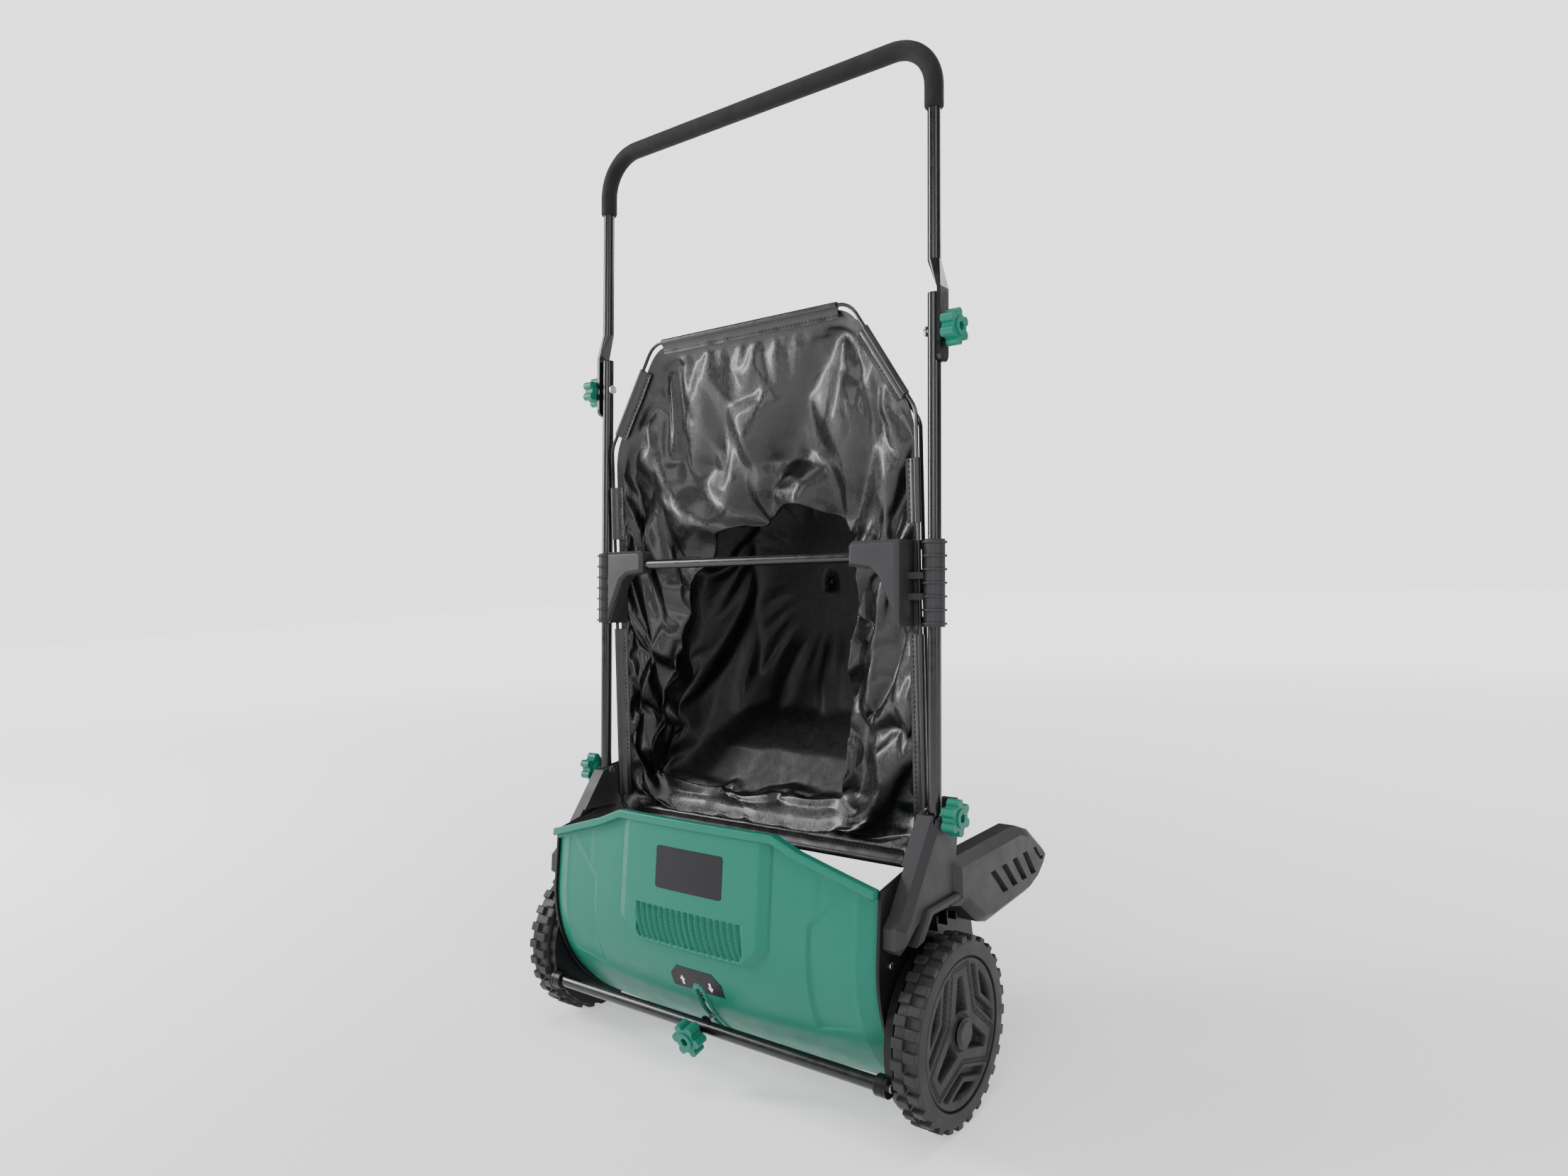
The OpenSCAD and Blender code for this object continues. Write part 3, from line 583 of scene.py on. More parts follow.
def build_cover_plates():
    label = rounded_rect(*LABEL_EDGES, LABEL_R)
    cover_patch("label_film", label, LABEL_BACK, LABEL_FACE, "label_film", replaces=["label_plate"])
    arrow = [(-1.6, -6), (1.6, -6), (1.6, 1), (4.2, 1), (0, 7), (-4.2, 1), (-1.6, 1)]
    for name, x, turn in (("raise_arrow", -23, 1), ("lower_arrow", 23, -1)):
        outline = [(x + px * turn, 130 + pz * turn) for px, pz in arrow]
        cover_patch(name, outline, 0.7, 1.0, "label_film", PRINT_WHITE)


# ---------- wheels ----------

WHEEL_R, TREAD_R, FACE_R = 108.0, 103.0, 85.0
WHEEL_IN, WHEEL_OUT = 284.0, 316.0
LUGS = 28
# each lug narrows outwards: how far its ends are cut in, its half width, and the radius
LUG_LEVELS = [(0, 5.9, 99), (0, 5.6, 106.4), (1, 4.7, 107.6)]
DISC_STEP = 1.1


def star_distance(u, v):
    """Signed distance outside the three-armed outline, from points in millimetres about the hub."""
    tip, half, notch = 73.0, 16.0, 31.0
    best = np.full(u.shape, 1e9)
    for k in range(3):
        a = math.radians(90 + 120 * k)
        along = u * math.cos(a) + v * math.sin(a)
        across = np.abs(-u * math.sin(a) + v * math.cos(a))
        base = np.array([notch * math.cos(math.radians(60)), notch * math.sin(math.radians(60))])
        d = unit(np.array([tip, half]) - base)
        side = (along - base[0]) * -d[1] + (across - base[1]) * d[0]
        best = np.minimum(best, np.where(along > 0, np.maximum(side, along - tip), np.hypot(along, across)))
    return best


def arm_pockets(u, v):
    """Distance into the three tapered pockets of the arms."""
    depth = np.full(u.shape, -1e9)
    for k in range(3):
        a = math.radians(90 + 120 * k)
        along = u * math.cos(a) + v * math.sin(a)
        across = np.abs(-u * math.sin(a) + v * math.cos(a))
        half = np.interp(along, [22, 64], [14.0, 5.5])
        depth = np.maximum(depth, np.minimum(np.minimum(half - across, 64 - along), along - 22))
    return depth


def wheel_face(u, v):
    """Depth of the wheel's outer face behind its rim, in millimetres."""
    r = np.hypot(u, v)
    out = star_distance(u, v)

    def band(x, low, high, ramp=1.0):
        return smooth_step((x - low) / ramp) * smooth_step((high - x) / ramp)

    depth = 1.2 + 0.8 * smooth_step((80 - r) / 10)
    depth = depth + 1.5 * (band(out, -0.4, 1.6, 0.6) + band(out, 3.2, 5.2, 0.6)) * (r < 79)
    depth = depth + 11.0 * smooth_step(arm_pockets(u, v) / 2.0)
    inner = smooth_step((76 - r) / 1.5)
    window = smooth_step((out - 25) / 2.0) * smooth_step((73 - r) / 2)
    depth = depth + inner * (6.5 * band(out, 9, 19, 1.6) + 12.0 * window)
    depth = depth + 2.5 * band(r, 82.5, 90, 1.0)
    return depth + 1.6 * band(r, 17.5, 20.5, 0.8)


def build_wheel(side):
    word = word_for(side)
    at_axle = Matrix.Scale(side, 4, (1, 0, 0)) @ Matrix.Translation((0, 0, WHEEL_R))
    profile = [
        (WHEEL_OUT, FACE_R), (WHEEL_OUT, 99.5), (WHEEL_OUT - 1.2, 101.8), (WHEEL_OUT - 3.2, TREAD_R),
        (WHEEL_IN + 3, TREAD_R), (WHEEL_IN + 1, 101.8), (WHEEL_IN, 99.5), (WHEEL_IN, 90.0),
        (WHEEL_IN + 12, 90.0), (WHEEL_IN + 14, 88.0), (WHEEL_IN + 14, 15.0), (WHEEL_IN + 17, 15.0),
        (WHEEL_IN + 17, FACE_R),
    ]
    tyre = lathe("tyre", profile[::-1], 112, at_axle)
    lugs = []
    for row in (0, 1):
        x0 = WHEEL_IN + (0.6 if row == 0 else 16.6)
        x1 = x0 + 14.8
        for i in range(LUGS):
            a = (i + row / 2) * 360 / LUGS
            rings = [
                [(x0 + d, -w, r), (x1 - d, -w, r), (x1 - d, w, r), (x0 + d, w, r)] for d, w, r in LUG_LEVELS
            ]
            lugs.append(loft("lug", rings, at_axle @ Matrix.Rotation(math.radians(a), 4, "X")))
    wheel = combined(f"tyre_{word}", tyre, *lugs)
    soften(wheel, 0.5, 1, 40)
    link_piece(wheel, f"{word}_wheel", "wheel_plastic", replaces=[f"wheel_{word}"])

    span = np.arange(-FACE_R - 1, FACE_R + 1.1, DISC_STEP)
    u, v = np.meshgrid(span, span)
    x = WHEEL_OUT - wheel_face(u, v)
    n = len(span)
    centre_r = np.hypot(u[:-1, :-1] + DISC_STEP / 2, v[:-1, :-1] + DISC_STEP / 2)
    keep = (centre_r < FACE_R + 0.6) & (centre_r > 15.5)
    faces = [
        (i * n + j, i * n + j + 1, (i + 1) * n + j + 1, (i + 1) * n + j)
        for i in range(n - 1)
        for j in range(n - 1)
        if keep[i, j]
    ]
    verts = np.stack([x.ravel(), u.ravel(), v.ravel()], -1)
    disc = make_mesh(f"wheel_disc_{word}", verts, faces, at_axle)
    bm = bmesh.new()
    bm.from_mesh(disc.data)
    bmesh.ops.delete(bm, geom=[w for w in bm.verts if not w.link_faces], context="VERTS")
    bm.to_mesh(disc.data)
    bm.free()
    thick = disc.modifiers.new("thick", "SOLIDIFY")
    thick.thickness = 1.2 * MM
    thick.offset = -1
    link_piece(disc, f"{word}_wheel", "wheel_plastic")


# ---------- brackets ----------

FOOT = [
    (-77.6, 216.3), (-50.6, 233.5), (-31, 240), (40, 237), (51, 296), (60, 340), (66, 360), (20, 355),
    (2, 351.6), (-37, 302), (-71, 258), (-85, 246.6), (-87.3, 224),
]
ARM = [
    (52, 234), (94, 202), (116, 195.4), (228, 199.8), (257, 208.6), (277, 222.7), (292.5, 242),
    (242.6, 280.6), (204, 295), (30, 295), (30, 240),
]
RIDGE = [
    (-62, 222), (-48, 224), (-26, 247), (66, 247), (104, 212), (118, 206), (106, 222), (72, 256), (-34, 256),
]
SOCKET = [(-5, 324), (30, 324), (50, 338), (59, 352), (61.5, 372), (9, 372), (8, 358), (0.5, 345)]


def build_bracket(side):
    word = word_for(side)
    foot = slab_x("foot", FOOT, [(268.1, 0), (284, 0), (291.8, 9)], side)
    upper = slab_x("upper", [p for p in FOOT if p[1] > 290], [(264.2, 0), (270, 0)], side)
    arm = slab_x("arm", ARM, [(268.2, 0), (289, 0), (299.8, 11)], side)
    rib = slab_x("rib", RIDGE, [(280, 0), (296, 0), (298.2, 2.4)], side)
    boolean(foot, "UNION", upper, arm, rib)
    cuts = [slab_x("pocket", SOCKET, [(269, 0), (287.5, 0)], side)]
    for i in range(4):
        slot = [(114 + 31 * i, 258), (147 + 28 * i, 225), (159 + 28 * i, 225), (126 + 31 * i, 258)]
        cuts.append(slab_x("slot", slot, [(293.5, 1.2), (301, -1.2)], side))
    bend = [(238, 258), (258, 238), (268, 236), (268, 241), (260, 242), (246, 258)]
    cuts.append(slab_x("bend", bend, [(296.5, 0.5), (301, 0)], side))
    at_pivot = PIVOT @ Matrix.Scale(side, 4, (1, 0, 0))
    bore = lathe("bore", [(262, 0.5), (302, 0.5), (302, 3.4), (262, 3.4)], 24, at_pivot)
    head = lathe("head", [(262, 0.5), (267, 0.5), (267, 6.4), (262, 6.4)], 24, at_pivot)
    boolean(foot, "DIFFERENCE", *cuts, bore, head)
    foot.name = f"bracket_shell_{word}"
    foot.data.polygons.foreach_set("use_smooth", [True] * len(foot.data.polygons))
    soften(foot, 1.1, 3, 20)
    link_piece(foot, "housing", "grey_plastic", replaces=[f"bracket_{word}"])


# ---------- handle clamps ----------

GUSSET = [
    (246.5, 219), (246.5, 321.2), (181, 321.2), (175.5, 316), (175.5, 291.5), (206, 287.5), (217, 279.5),
]
RIBS, RIB_LOW, RIB_PITCH, RIB_THICK, RIB_IN, RIB_OUT = 7, 221.1, 15.9, 2.8, 12.0, 14.9


def build_gusset(side):
    """The bevelled face of the clamp's gusset, over the plain one."""
    word = word_for(side)
    place = HANDLE @ Matrix.Scale(side, 4, (1, 0, 0))
    levels = [(-25.5, 0.0), (-27.5, 0.0), (-31.5, 4.2)]
    rings = [[(x, y, s) for x, s in (inset(GUSSET, d) if d else GUSSET)] for y, d in levels]
    plate = loft("gusset", [ring[::-1] for ring in rings], place)
    inner = inset(GUSSET, 9.0)
    groove = [(x, s) for x, s in inner if s > 284][:3] + [(186.5, 303)]
    cut = loft("groove", [[(x, y, s) for x, s in groove][::-1] for y in (-30.0, -34.0)], place)
    boolean(plate, "DIFFERENCE", cut)
    plate.name = f"gusset_face_{word}"
    plate.data.polygons.foreach_set("use_smooth", [True] * len(plate.data.polygons))
    soften(plate, 1.2, 3, 20)
    link_piece(plate, "lower_handle", "grey_plastic")


def build_clamp_ribs(side):
    """Ribs around the clamp's barrel, standing out over the plain ones."""
    word = word_for(side)
    upright = Matrix.Rotation(math.radians(-90), 4, "Y")
    place = HANDLE @ Matrix.Translation((side * TUBE_X, 0, 0)) @ upright
    rings = []
    for i in range(RIBS):
        low = RIB_LOW + RIB_PITCH * i
        high = low + RIB_THICK
        profile = [(low, RIB_IN), (high, RIB_IN), (high, RIB_OUT), (low, RIB_OUT)]
        rings.append(lathe("rib", profile, 64, place))
    ribs = combined(f"clamp_ribs_{word}", *rings)
    soften(ribs, 0.6, 2, 40)
    link_piece(ribs, "lower_handle", "grey_plastic")


# ---------- bag ----------

AROUND = 300
# Along the sheet, from 0 at the mouth to 1 at the middle of the back. Just past the edge of the opening the
# sheet gets painted shade: a darker, duller copy of the film.
THROAT_V, PAINTED_SHADE_FROM = 0.53, 0.545


def loop_points(corners, bend):
    """Points along a closed counter-clockwise outline with rounded corners, from its bottom middle."""
    pts = [np.array(p, float) for p in corners]
    path = []
    for i, p in enumerate(pts):
        d0, d1 = unit(p - pts[i - 1]), unit(pts[(i + 1) % len(pts)] - p)
        for t in np.linspace(0, 1, 7):
            a, b = p - d0 * bend, p + d1 * bend
            path.append((1 - t) ** 2 * a + 2 * t * (1 - t) * p + t * t * b)
    start = (pts[-1] + pts[0]) / 2
    path = np.array([start, *path, start])
    length = np.concatenate([[0], np.cumsum(np.linalg.norm(np.diff(path, axis=0), axis=1))])
    at = np.linspace(0, length[-1], AROUND, endpoint=False)
    return np.stack([np.interp(at, length, path[:, k]) for k in (0, 1)], -1)


def slice_loop(half, low, side, top, top_w, bend):
    corners = [(half, low), (half, side), (top_w, top), (-top_w, top), (-half, side), (-half, low)]
    return loop_points(corners, bend)


# Edge of the dark opening, each point opposite a landmark of the mouth
THROAT = [
    (104, -272), (120, -100), (146, 52), (104, 100), (20, 116), (-80, 84), (-138, 30), (-198, -120),
    (-222, -272),
]
THROAT_AT = [
    (249, -320), (249, -70), (249, 180), (158, 322), (0, 322), (-158, 322), (-249, 180), (-249, -70),
    (-249, -320),
]
THROAT_BOTTOM = (-58, -284)


def throat_loop(mouth):
    """The opening's points, matched to the mouth's by the landmarks."""
    n = len(mouth)
    at = [int(np.argmin(np.linalg.norm(mouth - np.array(p), axis=1))) for p in THROAT_AT]
    keys = [0, *at, n]
    pts = np.array([THROAT_BOTTOM, *THROAT, THROAT_BOTTOM], float)
    i = np.arange(n)
    loop = np.stack([np.interp(i, keys, pts[:, k]) for k in (0, 1)], -1)
    for _ in range(6):
        loop = (np.roll(loop, 1, 0) + 2 * loop + np.roll(loop, -1, 0)) / 4
    return loop


def fold_noise(x, t, scale, seed):
    """Sharp-crested creases, from 0 to 1."""
    value = noise.noise(Vector((x / scale, t / scale, seed)))
    return 1 - min(1.0, abs(value) * 3.2)


def bag_sheet():
    """Grid of the folded bag: in from the mouth, over the edge of the opening, and back to the bottom."""
    mouth = slice_loop(254, -336, 201, 341, 165, 26)
    seam = slice_loop(247, -322, 186, 324, 157, 26)
    throat = throat_loop(slice_loop(249, -320, 180, 322, 158, 26))
    belly = slice_loop(199, -226, 108, 232, 108, 40)
    back = slice_loop(132, -142, 58, 182, 66, 40)
    stations = [
        (0.0, mouth, 4.0), (0.06, seam, 12.0), (0.12, seam * 0.975, 22.0),
        (0.50, throat, 52.0), (THROAT_V, throat * 1.02, 57.0), (0.68, belly, 82.0), (0.88, back, 182.0),
        (0.94, back * 0.6, 187.0), (1.0, back * 0.04, 187.5),
    ]
    keys = [s[0] for s in stations]
    loops = np.array([s[1] for s in stations])
    depths = np.array([s[2] for s in stations])
    v = np.concatenate([
        np.linspace(0, 0.12, 6, endpoint=False), np.linspace(0.12, THROAT_V, 46, endpoint=False),
        np.linspace(THROAT_V, 0.88, 30, endpoint=False), np.linspace(0.88, 1.0, 7),
    ])
    grid = np.empty((len(v), AROUND, 3))
    for i, at in enumerate(v):
        k = min(np.searchsorted(keys, at, side="right") - 1, len(keys) - 2)
        f = (at - keys[k]) / (keys[k + 1] - keys[k])
        loop = loops[k] * (1 - f) + loops[k + 1] * f
        grid[i, :, 0], grid[i, :, 2] = loop[:, 0], loop[:, 1]
        grid[i, :, 1] = depths[k] * (1 - f) + depths[k + 1] * f
    return v, grid


def crest(turns):
    """A wave with sharp crests, from -1 to 1, one crest per turn."""
    return math.asin(0.93 * math.sin(2 * math.pi * turns)) / math.asin(0.93)


def crumple(v, grid):
    """Moves the grid's points: upright folds at the sides, slanting ones under the top, a rolled sill."""
    rows, n, _ = grid.shape
    seam = grid[5]
    for i in range(rows):
        hang = smooth_step((v[i] - 0.05) / 0.12) * (1 - smooth_step((v[i] - 0.56) / 0.3))
        across = (v[i] - 0.12) / 0.41
        for j in range(n):
            x, _, t = grid[i, j]
            edge_x, edge_t = seam[j, 0], seam[j, 2]
            fan = smooth_step((edge_t - 120) / 120)
            sill = smooth_step((-285 - edge_t) / 25)
            drift = noise.noise(Vector((edge_x / 150, edge_t / 150, 5.2)))
            wander = noise.noise(Vector((x / 95, t / 95, 1.7)))
            along = crest(1.7 * across + 0.9 * drift + 0.35 * wander)
            falling = crest((x + 0.75 * t) / 165 + 0.45 * wander)
            rising = crest((x - 0.75 * t) / 150 + 0.45 * drift)
            spread = 0.55 * (falling + rising)
            creased = fold_noise(x + 0.4 * t, t - 0.3 * x, 115.0, 3.7) - 0.4
            fine = fold_noise(x - 0.3 * t, t + 0.4 * x, 40.0, 9.1) - 0.4
            push = (1 - fan) * (1 - sill) * 10.0 * along + fan * 17.0 * spread * min(1.0, across + 0.35)
            push += (1 - 0.7 * sill) * (11.0 * creased + 1.0 * fine)
            push -= sill * 11.0 * math.sin(math.pi * min(1.0, max(0.0, across)))
            grid[i, j, 1] += push * hang
            reach = math.hypot(x, t) or 1.0
            slide = (4.0 * creased + 3.0 * spread * fan) * hang
            grid[i, j, 0] -= slide * x / reach
            grid[i, j, 2] -= slide * t / reach


def bag_faces(rows, n):
    """The back's closing face first, then the grid's cells row by row."""
    back_seam = [tuple((rows - 1) * n + j for j in range(n))]
    return back_seam + [
        (i * n + j, (i + 1) * n + j, (i + 1) * n + (j + 1) % n, i * n + (j + 1) % n)
        for i in range(rows - 1)
        for j in range(n)
    ]


CLOTH_FRAMES, CLOTH_GROWTH, CLOTH_CAP = 22, 0.035, 18.0


def simulate(obj, pinned):
    """Cloth grown a little inside its fixed edges, so that it buckles into creases."""
    scene = bpy.context.scene
    start = np.empty(len(obj.data.vertices) * 3)
    obj.data.vertices.foreach_get("co", start)
    group = obj.vertex_groups.new(name="pin")
    for index, weight in pinned.items():
        group.add([index], weight, "REPLACE")
    cloth = obj.modifiers.new("cloth", "CLOTH")
    settings = cloth.settings
    settings.quality = 6
    settings.mass = 0.1
    settings.tension_stiffness = 25
    settings.compression_stiffness = 25
    settings.shear_stiffness = 12
    settings.bending_stiffness = 8.0
    settings.shrink_min = -CLOTH_GROWTH
    settings.vertex_group_mass = "pin"
    settings.effector_weights.gravity = 0.35
    cloth.collision_settings.use_self_collision = False
    cloth.point_cache.frame_start, cloth.point_cache.frame_end = 1, CLOTH_FRAMES
    for step in range(1, CLOTH_FRAMES + 1):
        scene.frame_set(step)
    graph = bpy.context.evaluated_depsgraph_get()
    evaluated = obj.evaluated_get(graph).to_mesh()
    end = np.empty_like(start)
    evaluated.vertices.foreach_get("co", end)
    obj.evaluated_get(graph).to_mesh_clear()
    obj.modifiers.clear()
    scene.frame_set(1)
    move = (end - start).reshape(-1, 3)
    length = np.linalg.norm(move, axis=1, keepdims=True)
    move *= np.minimum(1.0, CLOTH_CAP * MM / np.maximum(length, 1e-9))
    obj.data.vertices.foreach_set("co", (start.reshape(-1, 3) + move).ravel())
    obj.data.update()


def build_bag():
    v, grid = bag_sheet()
    crumple(v, grid)
    rows, n, _ = grid.shape
    bag = make_mesh("bag_cloth", grid.reshape(-1, 3), bag_faces(rows, n), BAG)
    bpy.context.collection.objects.link(bag)
    pinned = {i * n + j: 1.0 for i in range(rows) for j in range(n) if v[i] < 0.07 or v[i] > 0.93}
    pinned.update({i * n + j: 0.15 for i in range(rows) for j in range(n) if 0.46 < v[i] < 0.56})
    simulate(bag, pinned)
    bpy.context.collection.objects.unlink(bag)
    finer = bag.modifiers.new("finer", "SUBSURF")
    finer.levels = finer.render_levels = 1
    link_piece(bag, "lower_handle", "bag_cloth", replaces=["bag"])
    # the front of the sheet is glossy; beyond the edge of the opening, and on the back's closing face, it
    # gets painted shade: a darker, duller copy of the film that makes the inside of the bag look dark
    bag.data.materials.append(PAINTED_SHADE_FILM)
    painted_shade_faces = [int(p.index == 0 or v[(p.index - 1) // n] > PAINTED_SHADE_FROM) for p in bag.data.polygons]
    bag.data.polygons.foreach_set("material_index", painted_shade_faces)


# ---------- sleeves of the mouth ----------

SLEEVE_R, FLAP, STITCH_PITCH = 4.4, 17.0, 6.0


def sleeve_profile():
    """Cross-section of a sleeve: around the rod, then down both sides of the sewn flap."""
    arc = [
        (SLEEVE_R * math.cos(math.radians(a)), SLEEVE_R * math.sin(math.radians(a)))
        for a in np.linspace(62, 360 - 25, 20)
    ]
    flap = [(8, 1.2), (12, 1.9), (FLAP, 2.1), (FLAP, 3.0), (12, 3.3), (7, 3.7)]
    return arc + flap


def build_sleeves():
    pieces = [((-150, 345), (150, 345)), ((226, -340), (-226, -340))]
    for s in (1, -1):
        pieces += [
            ((s * 258, 147), (s * 258, 70)), ((s * 258, -62), (s * 258, -308)),
            ((s * 190, 311.5), (s * 246, 223.3)),
        ]
    profile = sleeve_profile()
    parts, stitches = [], []
    for k, (p, q) in enumerate(pieces):
        p, q = np.array(p, float), np.array(q, float)
        d = unit(q - p)
        inward = np.array([d[1], -d[0]])
        if inward @ (-(p + q) / 2) < 0:
            inward = -inward
        length = float(np.linalg.norm(q - p))
        steps = max(4, int(length / 8))
        rings = []
        for i in range(steps + 1):
            at = p + d * length * i / steps
            end = 0.6 if i in (0, steps) else 0.0
            wave = 0.5 * noise.noise(Vector((k * 7.1, i * 0.45, 0)))
            ring = []
            for a, b in profile:
                reach = a - end * (a > 9) + wave * (a > 9)
                xz = at + inward * reach
                ring.append((xz[0], b + wave * smooth_step(a / 10) * 1.2, xz[1]))
            rings.append(ring)
        turned = d[0] * inward[1] - d[1] * inward[0] > 0
        parts.append(loft("sleeve", [r if turned else r[::-1] for r in rings], BAG))
        count = int(length / STITCH_PITCH)
        for i in range(count):
            at = p + d * (length * (i + 0.5) / count) + inward * 12.5
            e, w = d * 1.6, inward * 0.35
            low = [(*(at + a * e + b * w), 0) for a, b in ((-1, -1), (1, -1), (1, 1), (-1, 1))]
            rings = [[(x, y, z) for x, z, _ in low] for y in (1.2, 1.75)]
            stitches.append(loft("stitch", rings, BAG))
    sleeves = combined("bag_hem_sleeves", *parts)
    soften(sleeves, 0.35, 1, 50)
    link_piece(sleeves, "lower_handle", "hem_vinyl", replaces=["bag_hem"])
    thread = combined("hem_stitching", *stitches)
    link_piece(thread, "lower_handle", "hem_vinyl")


# ---------- foam grip ----------

BEND_R, TOP_S, FOAM_LOW, FOAM_R = 57.0, 915.7, 831.0, 11.7


def grip_path():
    path = [(TUBE_X, s) for s in np.linspace(FOAM_LOW, TOP_S - BEND_R, 6)]
    for a in np.linspace(0, 90, 15)[1:]:
        across, along = BEND_R * math.cos(math.radians(a)), BEND_R * math.sin(math.radians(a))
        path.append((TUBE_X - BEND_R + across, TOP_S - BEND_R + along))
    path += [(x, TOP_S) for x in np.linspace(TUBE_X - BEND_R, 0, 24)[1:]]
    return path + [(-x, s) for x, s in path[-2::-1]]


def build_grip():
    path = np.array(grip_path())
    length = np.concatenate([[0], np.cumsum(np.linalg.norm(np.diff(path, axis=0), axis=1))])
    total = length[-1]
    at = np.concatenate([[0, 0.4, 1.4], np.linspace(3, total - 3, 150), [total - 1.4, total - 0.4, total]])
    fine = np.stack([np.interp(at, length, path[:, k]) for k in (0, 1)], -1)
    ends = np.minimum(at, total - at)
    uneven = np.array([0.12 * noise.noise(Vector((a / 40, 0, 2))) for a in at])
    radii = FOAM_R - 1.6 * (1 - smooth_step(ends / 2.2)) + uneven
    grip = swept("grip_foam", fine, radii, 32, HANDLE)
    link_piece(grip, "upper_handle", "foam", replaces=["foam_grip"])


# ---------- brush ----------

BRUSH_Y, BRUSH_Z, TUFT_ROOT, TUFT_TIP = 54.0, 108.0, 20.0, 89.3
ROWS, TUFTS, FILAMENTS, TUFT_PITCH = 6, 61, 7, 8


def build_bristles():
    """Rows of tufts, each a bundle of tapered filaments."""
    rng = np.random.default_rng(7)
    verts, faces = [], []
    for row in range(ROWS):
        for i in range(TUFTS):
            x0 = -240 + TUFT_PITCH * i
            for _ in range(FILAMENTS):
                spread = rng.normal(0, 1, 2)
                foot = Vector((x0 + spread[0] * 0.8, spread[1] * 0.8, TUFT_ROOT))
                top = Vector((x0 + spread[0] * 2.6, spread[1] * 2.6, TUFT_TIP - 2.5 * rng.random()))
                turn = Matrix.Rotation(math.radians(60 * row), 4, "X")
                base = len(verts)
                for p, r in ((foot, 0.7), (top, 0.45)):
                    for k in range(3):
                        a = 2 * math.pi * k / 3
                        q = turn @ (p + Vector((r * math.cos(a), r * math.sin(a), 0)))
                        verts.append((q.x, q.y + BRUSH_Y, q.z + BRUSH_Z))
                for k in range(3):
                    after = (k + 1) % 3
                    faces.append((base + k, base + after, base + 3 + after, base + 3 + k))
                faces += [(base + 2, base + 1, base), (base + 3, base + 4, base + 5)]
    tufts = make_mesh("brush_tufts", verts, faces, smooth=False)
    link_piece(tufts, "brush", "bristle", replaces=["bristles"])


# ---------- CAD nodes that stay ----------

EDGES = {
    "knob": 1.3, "clamp": 0.7, "hub_cap": 1.6, "end_boss": 1.2, "swing_plate": 0.8, "side_plate": 0.6,
    "tube_caps": 0.5, "height_scale_plate": 0.15, "height_washers": 0.5, "fold_bolt": 0.7, "pivot_bolt": 0.7,
    "cover_screws": 0.5, "boss_screws": 0.6, "lower_tube": 0.3,
}
# round all along, so they keep their own normals and get no bevel
SMOOTH_RODS = ("upper_handle", "crossbar", "bag_front_frame", "bag_rear_frame")


def dress_cad():
    for name, obj in NODES.items():
        if obj.hide_render:
            continue
        obj.data.materials.clear()
        obj.data.materials.append(MATERIALS[SLOT_OF[name]])
        if name.startswith(SMOOTH_RODS):
            continue
        if "custom_normal" in obj.data.attributes:
            obj.data.attributes.remove(obj.data.attributes["custom_normal"])
        width = next((w for start, w in EDGES.items() if name.startswith(start)), 0.25)
        soften(obj, width, 3 if name.startswith("knob") else 2, 32, merge=True)


# ---------- stage ----------


def area_light(name, location, target, size, power):
    data = bpy.data.lights.new(name, "AREA")
    data.shape = "RECTANGLE"
    data.size, data.size_y = size
    data.energy = power
    lamp = bpy.data.objects.new(name, data)
    bpy.context.collection.objects.link(lamp)
    lamp.location = location
    lamp.rotation_mode = "QUATERNION"
    lamp.rotation_quaternion = (Vector(target) - Vector(location)).to_track_quat("-Z", "Y")
    return lamp


ROOM_LIGHT, BACKDROP = 0.15, 2.3
FLOOR_REACH = 12.0


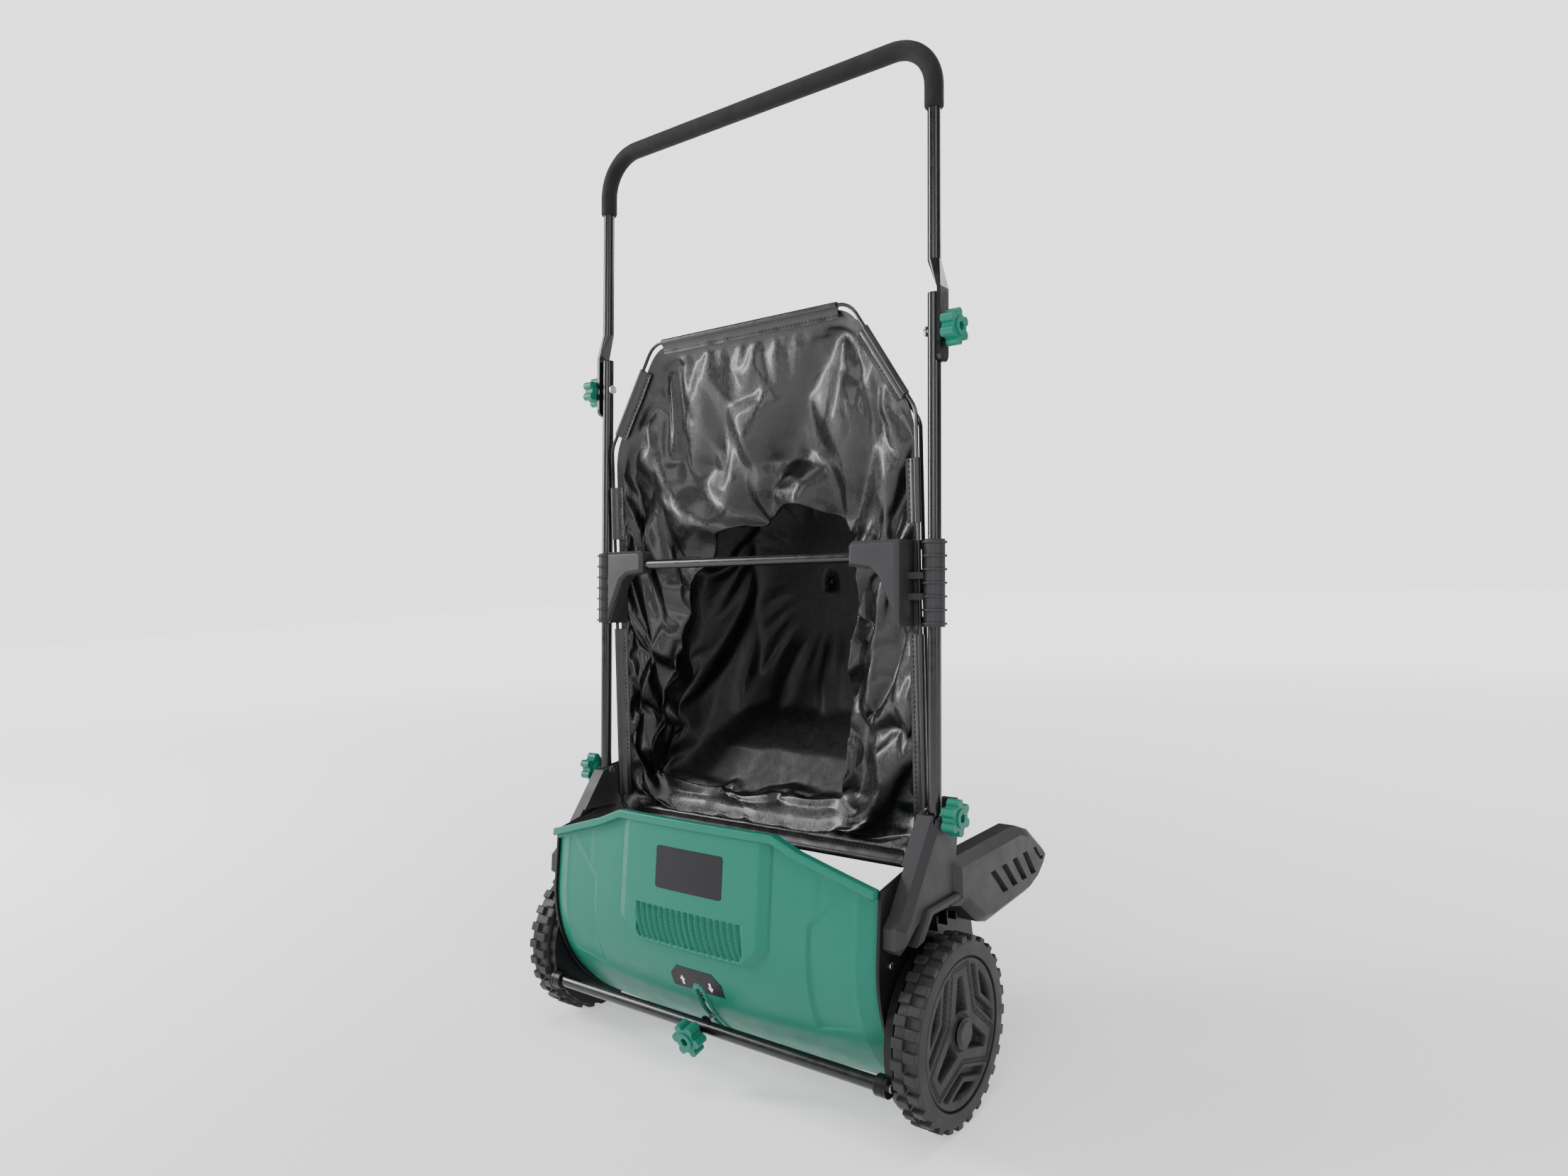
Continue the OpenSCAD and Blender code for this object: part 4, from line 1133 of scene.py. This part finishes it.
def build_stage():
    floor_mesh = bpy.data.meshes.new("floor")
    corners = [(x * FLOOR_REACH, y * FLOOR_REACH, 0) for x, y in ((-1, -1), (1, -1), (1, 1), (-1, 1))]
    floor_mesh.from_pydata(corners, [], [(0, 1, 2, 3)])
    floor = bpy.data.objects.new("floor", floor_mesh)
    bpy.context.collection.objects.link(floor)
    pale = Shader(
        "floor_paper", (0.75, 0.75, 0.75), 0.95, Emission_Color=(1, 1, 1, 1), Specular_IOR_Level=0.1
    )
    # the paper glows more away from the middle, like a lit studio sweep
    distance = pale.add("ShaderNodeVectorMath", operation="LENGTH")
    pale.set(distance, "Vector", pale.coords)
    glow = pale.ranged(distance.outputs["Value"], 0.5, BACKDROP, 0.6, 5.0)
    pale.set(pale.bsdf, "Emission Strength", glow)
    floor_mesh.materials.append(pale.mat)
    world = bpy.data.worlds.new("studio")
    bpy.context.scene.world = world
    world.use_nodes = True
    tree = world.node_tree
    background = tree.nodes["Background"]
    background.inputs["Color"].default_value = (1, 1, 1, 1)
    # the backdrop is bright to the camera and dim as a light
    strength = tree.nodes.new("ShaderNodeMapRange")
    strength.inputs["To Min"].default_value, strength.inputs["To Max"].default_value = ROOM_LIGHT, BACKDROP
    ray = tree.nodes.new("ShaderNodeLightPath")
    tree.links.new(ray.outputs["Is Camera Ray"], strength.inputs["Value"])
    tree.links.new(strength.outputs["Result"], background.inputs["Strength"])
    middle = (0, 0, 0.6)
    lamps = [
        area_light("key", (-2.9, -1.6, 1.9), middle, (0.7, 2.2), 150),
        area_light("fill", (2.8, -1.2, 1.7), middle, (0.5, 2.4), 34),
        area_light("front", (0.9, -3.4, 1.8), middle, (2.2, 1.6), 60),
        area_light("rim", (0.8, 2.4, 2.2), middle, (2.0, 1.0), 36),
        area_light("overhead", (0, -0.5, 3.2), middle, (2.2, 1.4), 45),
    ]


def build_camera():
    """The photograph's viewpoint."""
    yaw, pitch, roll = 0.6552, -0.0338, -0.0398
    forward = Vector((-math.sin(yaw) * math.cos(pitch), math.cos(yaw) * math.cos(pitch), math.sin(pitch)))
    right = Vector((math.cos(yaw), math.sin(yaw), 0))
    up = right.cross(forward)
    right, up = right * math.cos(roll) + up * math.sin(roll), up * math.cos(roll) - right * math.sin(roll)
    data = bpy.data.cameras.new("camera")
    data.sensor_width, data.lens = 36.0, 23.722
    camera = bpy.data.objects.new("camera", data)
    bpy.context.collection.objects.link(camera)
    turn = Matrix((right, up, -forward)).transposed().to_4x4()
    camera.matrix_world = Matrix.Translation((0.8743, -1.0273, 0.6604)) @ turn
    bpy.context.scene.camera = camera


build_cover()
build_cover_plates()
for side in (1, -1):
    build_wheel(side)
    build_bracket(side)
    build_gusset(side)
    build_clamp_ribs(side)
build_bristles()
build_grip()
build_sleeves()
build_bag()
dress_cad()
build_stage()
build_camera()
